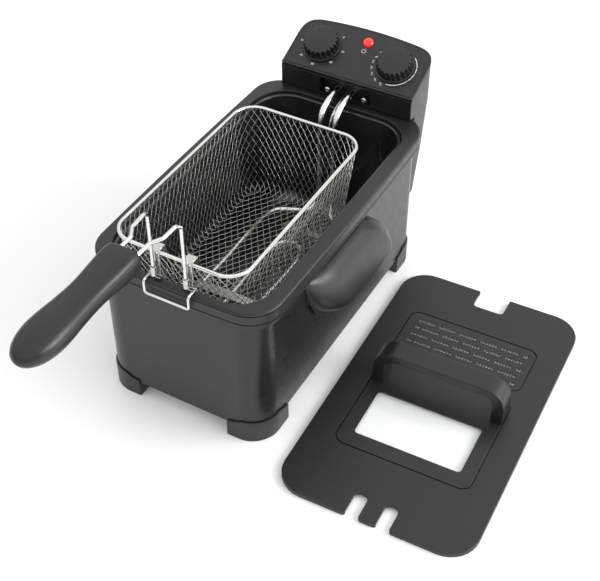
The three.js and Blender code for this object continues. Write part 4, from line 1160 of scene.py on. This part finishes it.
def bracket_skin():
    """Strip bent over the rim wire, run down the basket's front and folded forwards into a wider foot."""
    front, rim, low = BRACKET["front"], BASKET["rim_z"], BRACKET["bottom"]
    path = [(BRACKET["inner"] - 1, BRACKET["inner_bottom"] + 1), (BRACKET["inner"] - 4, rim + 4.2),
            (front + 6, rim + 4.6), (front + 1.2, rim + 1), (front + 1.2, low + 2.5), (front - 0.6, low)]
    strip = strap(round_corners(path, 2.2, 5, closed=False), 2 * BRACKET["half"], BRACKET["sheet"])
    half = BRACKET["foot_half"]
    foot = block((-half, front - 0.2, low + 0.2), (half, front + 1.1, low + 5), 0.4)
    return merged([strip, foot])


def sleeve_skin():
    """Tube that takes the foot of a handle wire."""
    outer = rounded_outline(6.8, 6.8, 3.39, steps=6)
    low, high = HANDLE["foot"] - 2.5, HANDLE["foot"] + 9
    outside = [(0.3, low), (0, low + 0.3), (0, high - 0.3), (0.3, high)]
    inside = [(1.0, high), (1.05, high - 0.2), (1.05, HANDLE["foot"] - 0.4)]
    return shifted(stack(outer, outside + inside), 0, HANDLE["leg_y"])


def hook_skin():
    """Wire loop that hangs over the front rim to hold the basket up."""
    x, y, z, low = HOOK["x"], HOOK["drop_y"], HOOK["rest_z"], HOOK["bottom"]
    start = BRACKET["front"] - 0.3
    corners = [(-x, start, z), (-x, y, z), (-x, y, low), (x, y, low), (x, y, z), (x, start, z)]
    return tube(round_corners(corners, HOOK["bend"], 6, closed=False), HOOK["wire"], 14)


def make_basket():
    piece("rim_wire", rim_skin(), CHROME, "basket", ["basket_rim"])
    piece("woven_basket", merged(wall_wires() + floor_wires()), MESH_WIRE, "basket",
          ["basket_mesh"], sharp=80)
    for side, sign in SIDES:
        skin = shifted(merged([bracket_skin(), sleeve_skin()]), sign * HANDLE["leg_x"])
        piece(f"rim_bracket_{side}", skin, BRACKET_SHEET, "basket", [f"basket_bracket_{side}"])
    piece("hanging_hook", hook_skin(), CHROME, "basket", ["drain_hook"])


# ------------------------------------------------------------------ basket handle
def handle_wire_skin(sign):
    z, gx, lx, ly = HANDLE["z"], HANDLE["grip_x"], HANDLE["leg_x"], HANDLE["leg_y"]
    corners = [(gx, GRIP["start"] - 13, z), (gx, -224, z), (lx - 2, -212, z), (lx - 1.2, -193, z + 0.5),
               (lx, ly, z - 5), (lx, ly, HANDLE["foot"] + 0.6)]
    path = round_corners([(sign * x, y, h) for x, y, h in corners], [0, 4, 4, 6, 3, 0], 6, closed=False)
    return tube(path, HANDLE["wire"], 16)


def squircle(half_x, half_z, power, steps=40):
    """Cross-section between an ellipse and a rectangle, as (x, z)."""
    points = []
    for step in range(steps):
        angle = 2 * math.pi * step / steps
        c, s = math.cos(angle), math.sin(angle)
        x = half_x * math.copysign(abs(c) ** (2 / power), c)
        z = half_z * math.copysign(abs(s) ** (2 / power), s)
        points.append((x, z))
    return points


def grip_skin():
    """Moulded grip: nearly square where the wires enter, waisted, then swelling to a rounded butt."""
    wire_end = [(0, 15, 10, 3.8), (0.006, 17, 12, 3.6), (0.02, 18.2, 13.2, 3.4), (0.09, 19, 14, 3.1)]
    waist = [(0.2, 18.4, 13.4, 2.8), (0.37, 17.2, 12.3, 2.5), (0.54, 18.4, 13, 2.4)]
    swell = [(0.71, 20.6, 14.5, 2.3), (0.81, 20.2, 14.3, 2.2), (0.9, 17, 12.4, 2.1)]
    butt = [(0.955, 12.4, 9.4, 2.0), (0.982, 8, 6.2, 2.0), (0.996, 3.4, 2.8, 2.0), (1, 0.6, 0.5, 2.0)]
    rings = []
    for share, half_x, half_z, power in smooth_stations(wire_end + waist + swell + butt):
        y = GRIP["start"] - GRIP["length"] * share
        rings.append([(x, y, GRIP["z"] + z) for x, z in squircle(half_x, half_z, power)])
    return loft(rings)


def smooth_stations(stations, per_span=4):
    """Fills in between stations so that each of their values changes smoothly."""
    made = []
    padded = [stations[0]] + stations + [stations[-1]]
    for i in range(1, len(padded) - 2):
        before, low, high, after = padded[i - 1:i + 3]
        span = high[0] - low[0]
        low_rate = [(h - b) / max(high[0] - before[0], 1e-6) for h, b in zip(high, before)]
        high_rate = [(a - l) / max(after[0] - low[0], 1e-6) for a, l in zip(after, low)]
        for step in range(per_span):
            t = step / per_span
            values = []
            for l, h, lr, hr in zip(low, high, low_rate, high_rate):
                values.append((2 * t ** 3 - 3 * t ** 2 + 1) * l + (t ** 3 - 2 * t ** 2 + t) * span * lr
                              + (3 * t ** 2 - 2 * t ** 3) * h + (t ** 3 - t ** 2) * span * hr)
            made.append(tuple(values))
    return made + [stations[-1]]


def make_handle():
    sockets = []
    for side, sign in SIDES:
        piece(f"handle_rod_{side}", handle_wire_skin(sign), CHROME, "basket_handle",
              [f"handle_wire_{side}"])
        sockets.append(rod(sign * HANDLE["grip_x"], HANDLE["z"], HANDLE["wire"] + 0.3,
                           GRIP["start"] - 14, GRIP["start"] + 5))
    piece("moulded_grip", grip_skin(), BLACK, "basket_handle", ["basket_grip"],
          sharp=60, cutters=sockets)


# ------------------------------------------------------------------ lid
def lid_outline():
    """Lid in plan, with a notch for the element at the back and two slots for the basket handle in front."""
    w, l, corner = LID["width"] / 2, LID["length"] / 2, LID["radius"]
    half, depth = LID["slot"] / 2, LID["slot_depth"]
    corners, radii = [(-w, -l)], [corner]
    for x in (-LID["slot_x"], LID["slot_x"]):
        corners += [(x - half, -l), (x - half, depth - l), (x + half, depth - l), (x + half, -l)]
        radii += [3, half * 0.75, half * 0.75, 3]
    corners += [(w, -l), (w, l)]
    radii += [corner, corner]
    notch, deep = LID["notch"] / 2, l - LID["notch_depth"]
    corners += [(notch, l), (notch, deep), (-notch, deep), (-notch, l), (-w, l)]
    radii += [1.5, 5, 5, 1.5, corner]
    return round_corners(corners, radii, 8)


def slit_outlines():
    """Staggered rows of short slanted slits in groups, with a lone pair where no more group fits."""
    slits = []
    for row in range(SLIT["rows"]):
        y = SLIT["back_row"] - SLIT["row_pitch"] * row
        first, pair = (-55.5, -64.3) if row % 2 else (-64, 64.3)
        places = []
        for group in range(SLIT["groups"]):
            for number in range(SLIT["in_group"]):
                places.append(first + SLIT["group_pitch"] * group + SLIT["pitch"] * number)
        for x in places + [pair, pair + SLIT["pair_pitch"]]:
            corners = [(x - 1.5, y - 2), (x + 0.7, y - 2), (x + 2.7, y + 2), (x + 0.5, y + 2)]
            slits.append(round_corners(corners, 0.5, 2))
    return slits


def arch_skin():
    """Upright bridge handle: two straight legs, round shoulders and a flat bar with softened edges."""
    foot, top, half = LID["top"] + 0.3, ARCH["top"], ARCH["half"]
    inner_half, inner_top = half - ARCH["leg"], top - ARCH["bar"]
    stations = []
    for share in (0, 0.03, 0.5, 1):
        height = foot + (top - ARCH["shoulder"] - foot) * share
        inner_height = foot + (inner_top - ARCH["inner"] - foot) * share
        stations.append(((half, height), (inner_half, inner_height)))
    for step in range(1, 15):
        angle = math.pi / 2 * step / 14
        across, down = 1 - math.cos(angle), 1 - math.sin(angle)
        outer = (half - ARCH["shoulder"] * across, top - ARCH["shoulder"] * down)
        inner = (inner_half - ARCH["inner"] * across, inner_top - ARCH["inner"] * down)
        stations.append((outer, inner))
    shoulder = stations[-1]
    middle = [tuple((x * share, z) for x, z in shoulder) for share in (0.5, 0)]
    right = stations + middle[:1]
    whole = right + middle[1:] + [tuple((-x, z) for x, z in station) for station in reversed(right)]
    rings = []
    for (outer_x, outer_z), (inner_x, inner_z) in whole:
        lean = (outer_z - foot) / (top - foot)
        front, back = ARCH["front"] + 1.2 * lean, ARCH["back"] - 1.2 * lean
        corners = [(outer_x, front, outer_z), (outer_x, back, outer_z),
                   (inner_x, back, inner_z), (inner_x, front, inner_z)]
        rings.append(round_corners(corners, [1.3, 2, 1, 0.8], 5))
    return loft(rings)


def sheet_skin():
    """Lid sheet with softened edges and its two openings."""
    outer_edge, inner_edge = edge_profile(0, LID["top"], 0.9), edge_profile(0, LID["top"], 0.35, 2)
    return pierced(lid_outline(), [oblong(FRAME, 0.6), oblong(VENT, 0.4)], outer_edge, inner_edge)


def surround_skin(flange):
    """Window frame whose sight edge and outer edge both hang a flange under the sheet."""
    top = LID["top"]
    edges = []
    for lip, soft in ((-3, 0.5), (-5, 0.7)):
        rounding = arc((0, top - soft), (soft, top), (soft, top - soft), 3)
        edges.append([(lip, 1.4), (lip, flange), (0, flange)] + rounding)
    frame_edge, sight_edge = edges
    return pierced(oblong(FRAME, -0.7), [oblong(PANE)], frame_edge, [(-inset, z) for inset, z in sight_edge])


def handle_bores(radius, low, high, steps):
    """Bores for the two screws of the lid's handle."""
    bore = turned([(radius, low), (radius, high)], steps)
    return [shifted(bore, sign * ARCH["screw_x"], ARCH["screw_y"]) for _, sign in SIDES]


def make_lid():
    under_sheet = LID["top"] - LID["skin"]
    under = rounded_outline(LID["width"] - 5, LID["length"] - 5, LID["radius"] - 2.5)
    piece("lid_sheet", sheet_skin(), LID_COAT, "lid", ["lid_plate"], LID_PLACE,
          cutters=[stack(under, [(0, -9), (0, under_sheet)])])
    piece("window_surround", surround_skin(under_sheet - 0.3), PLASTIC, "lid",
          ["window_frame"], LID_PLACE, cutters=handle_bores(2.2, -4, 12, 24))
    pane = stack(oblong(PANE, 1.1), edge_profile(1.6, under_sheet - 0.6, 0.25))
    piece("glass_pane", pane, GLASS, "lid", ["window_glass"], LID_PLACE)
    piece("bridge_handle", arch_skin(), PLASTIC, "lid", ["lid_handle"], LID_PLACE,
          sharp=50, cutters=handle_bores(2.1, 0, 13, 20))
    outer_edge = edge_profile(VENT["bottom"], LID["top"], 0.4)
    slit_edge = edge_profile(VENT["bottom"], LID["top"], 0.2, 1)
    cover = pierced(oblong(VENT, -0.8), slit_outlines(), outer_edge, slit_edge)
    piece("slotted_cover", cover, PLASTIC, "vent", ["vent_cover"], LID_PLACE)
    dress(SILICONE, "window_seal")
    dress(BLACK, "filter_tray")
    dress(FLEECE, "filter_pad")
    dress(STEEL, "lid_handle_screw_left", "lid_handle_screw_right")


# ------------------------------------------------------------------ stage
def make_floor():
    material = new_material("pale_floor", (0.96, 0.96, 0.96), 0.7)
    shades(material, noise(material, position(material), 400), (0.95, 0.95, 0.95), (0.97, 0.97, 0.97))
    bpy.ops.mesh.primitive_plane_add(size=120)
    floor = bpy.context.object
    floor.name = "floor"
    floor.data.materials.append(material)


def make_light(name, energy, size, place, target=(0, 0, 0.1)):
    light = bpy.data.lights.new(name, "AREA")
    light.energy = energy
    light.shape = "RECTANGLE"
    light.size, light.size_y = size
    obj = bpy.data.objects.new(name, light)
    bpy.context.scene.collection.objects.link(obj)
    obj.location = place
    obj.rotation_euler = (Vector(target) - Vector(place)).to_track_quat("-Z", "Y").to_euler()


def make_world():
    """White studio overhead that falls off to dark grey near the horizon."""
    world = bpy.data.worlds.new("studio")
    world.use_nodes = True
    nodes, links = world.node_tree.nodes, world.node_tree.links
    direction = nodes.new("ShaderNodeTexCoord")
    split = nodes.new("ShaderNodeSeparateXYZ")
    ramp = nodes.new("ShaderNodeValToRGB")
    links.new(direction.outputs["Generated"], split.inputs["Vector"])
    links.new(split.outputs["Z"], ramp.inputs["Fac"])
    links.new(ramp.outputs["Color"], nodes["Background"].inputs["Color"])
    levels = [(0.0, 0.12), (0.12, 0.25), (0.34, 1.05), (1.0, 1.2)]
    for height, _ in levels[1:-1]:
        ramp.color_ramp.elements.new(height)
    for element, (height, level) in zip(ramp.color_ramp.elements, levels):
        element.position = height
        element.color = (level, level, level, 1)
    bpy.context.scene.world = world


def make_camera():
    """Camera whose place follows from its target, its two angles and its distance."""
    data = bpy.data.cameras.new("camera")
    data.lens, data.sensor_width = CAMERA["lens"], CAMERA["sensor"]
    data.clip_start, data.clip_end = 0.05, 50
    camera = bpy.data.objects.new("camera", data)
    bpy.context.scene.collection.objects.link(camera)
    azimuth, elevation = math.radians(CAMERA["azimuth"]), math.radians(CAMERA["elevation"])
    level = math.cos(elevation)
    away = Vector((math.sin(azimuth) * level, -math.cos(azimuth) * level, math.sin(elevation)))
    camera.location = FRYER @ Vector(CAMERA["target"]) + away * CAMERA["distance"]
    camera.rotation_euler = (-away).to_track_quat("-Z", "Y").to_euler()
    bpy.context.scene.camera = camera


def make_stage():
    make_floor()
    make_world()
    make_light("key", 34, (1.4, 1.0), (1.7, 0.5, 0.9))
    make_camera()
    bpy.context.scene.view_settings.view_transform = "Standard"


make_housing()
piece("tank_bowl", tank_skin(), ENAMEL, "tank", ["oil_tank"])
make_head()
make_basket()
make_handle()
make_lid()
make_stage()
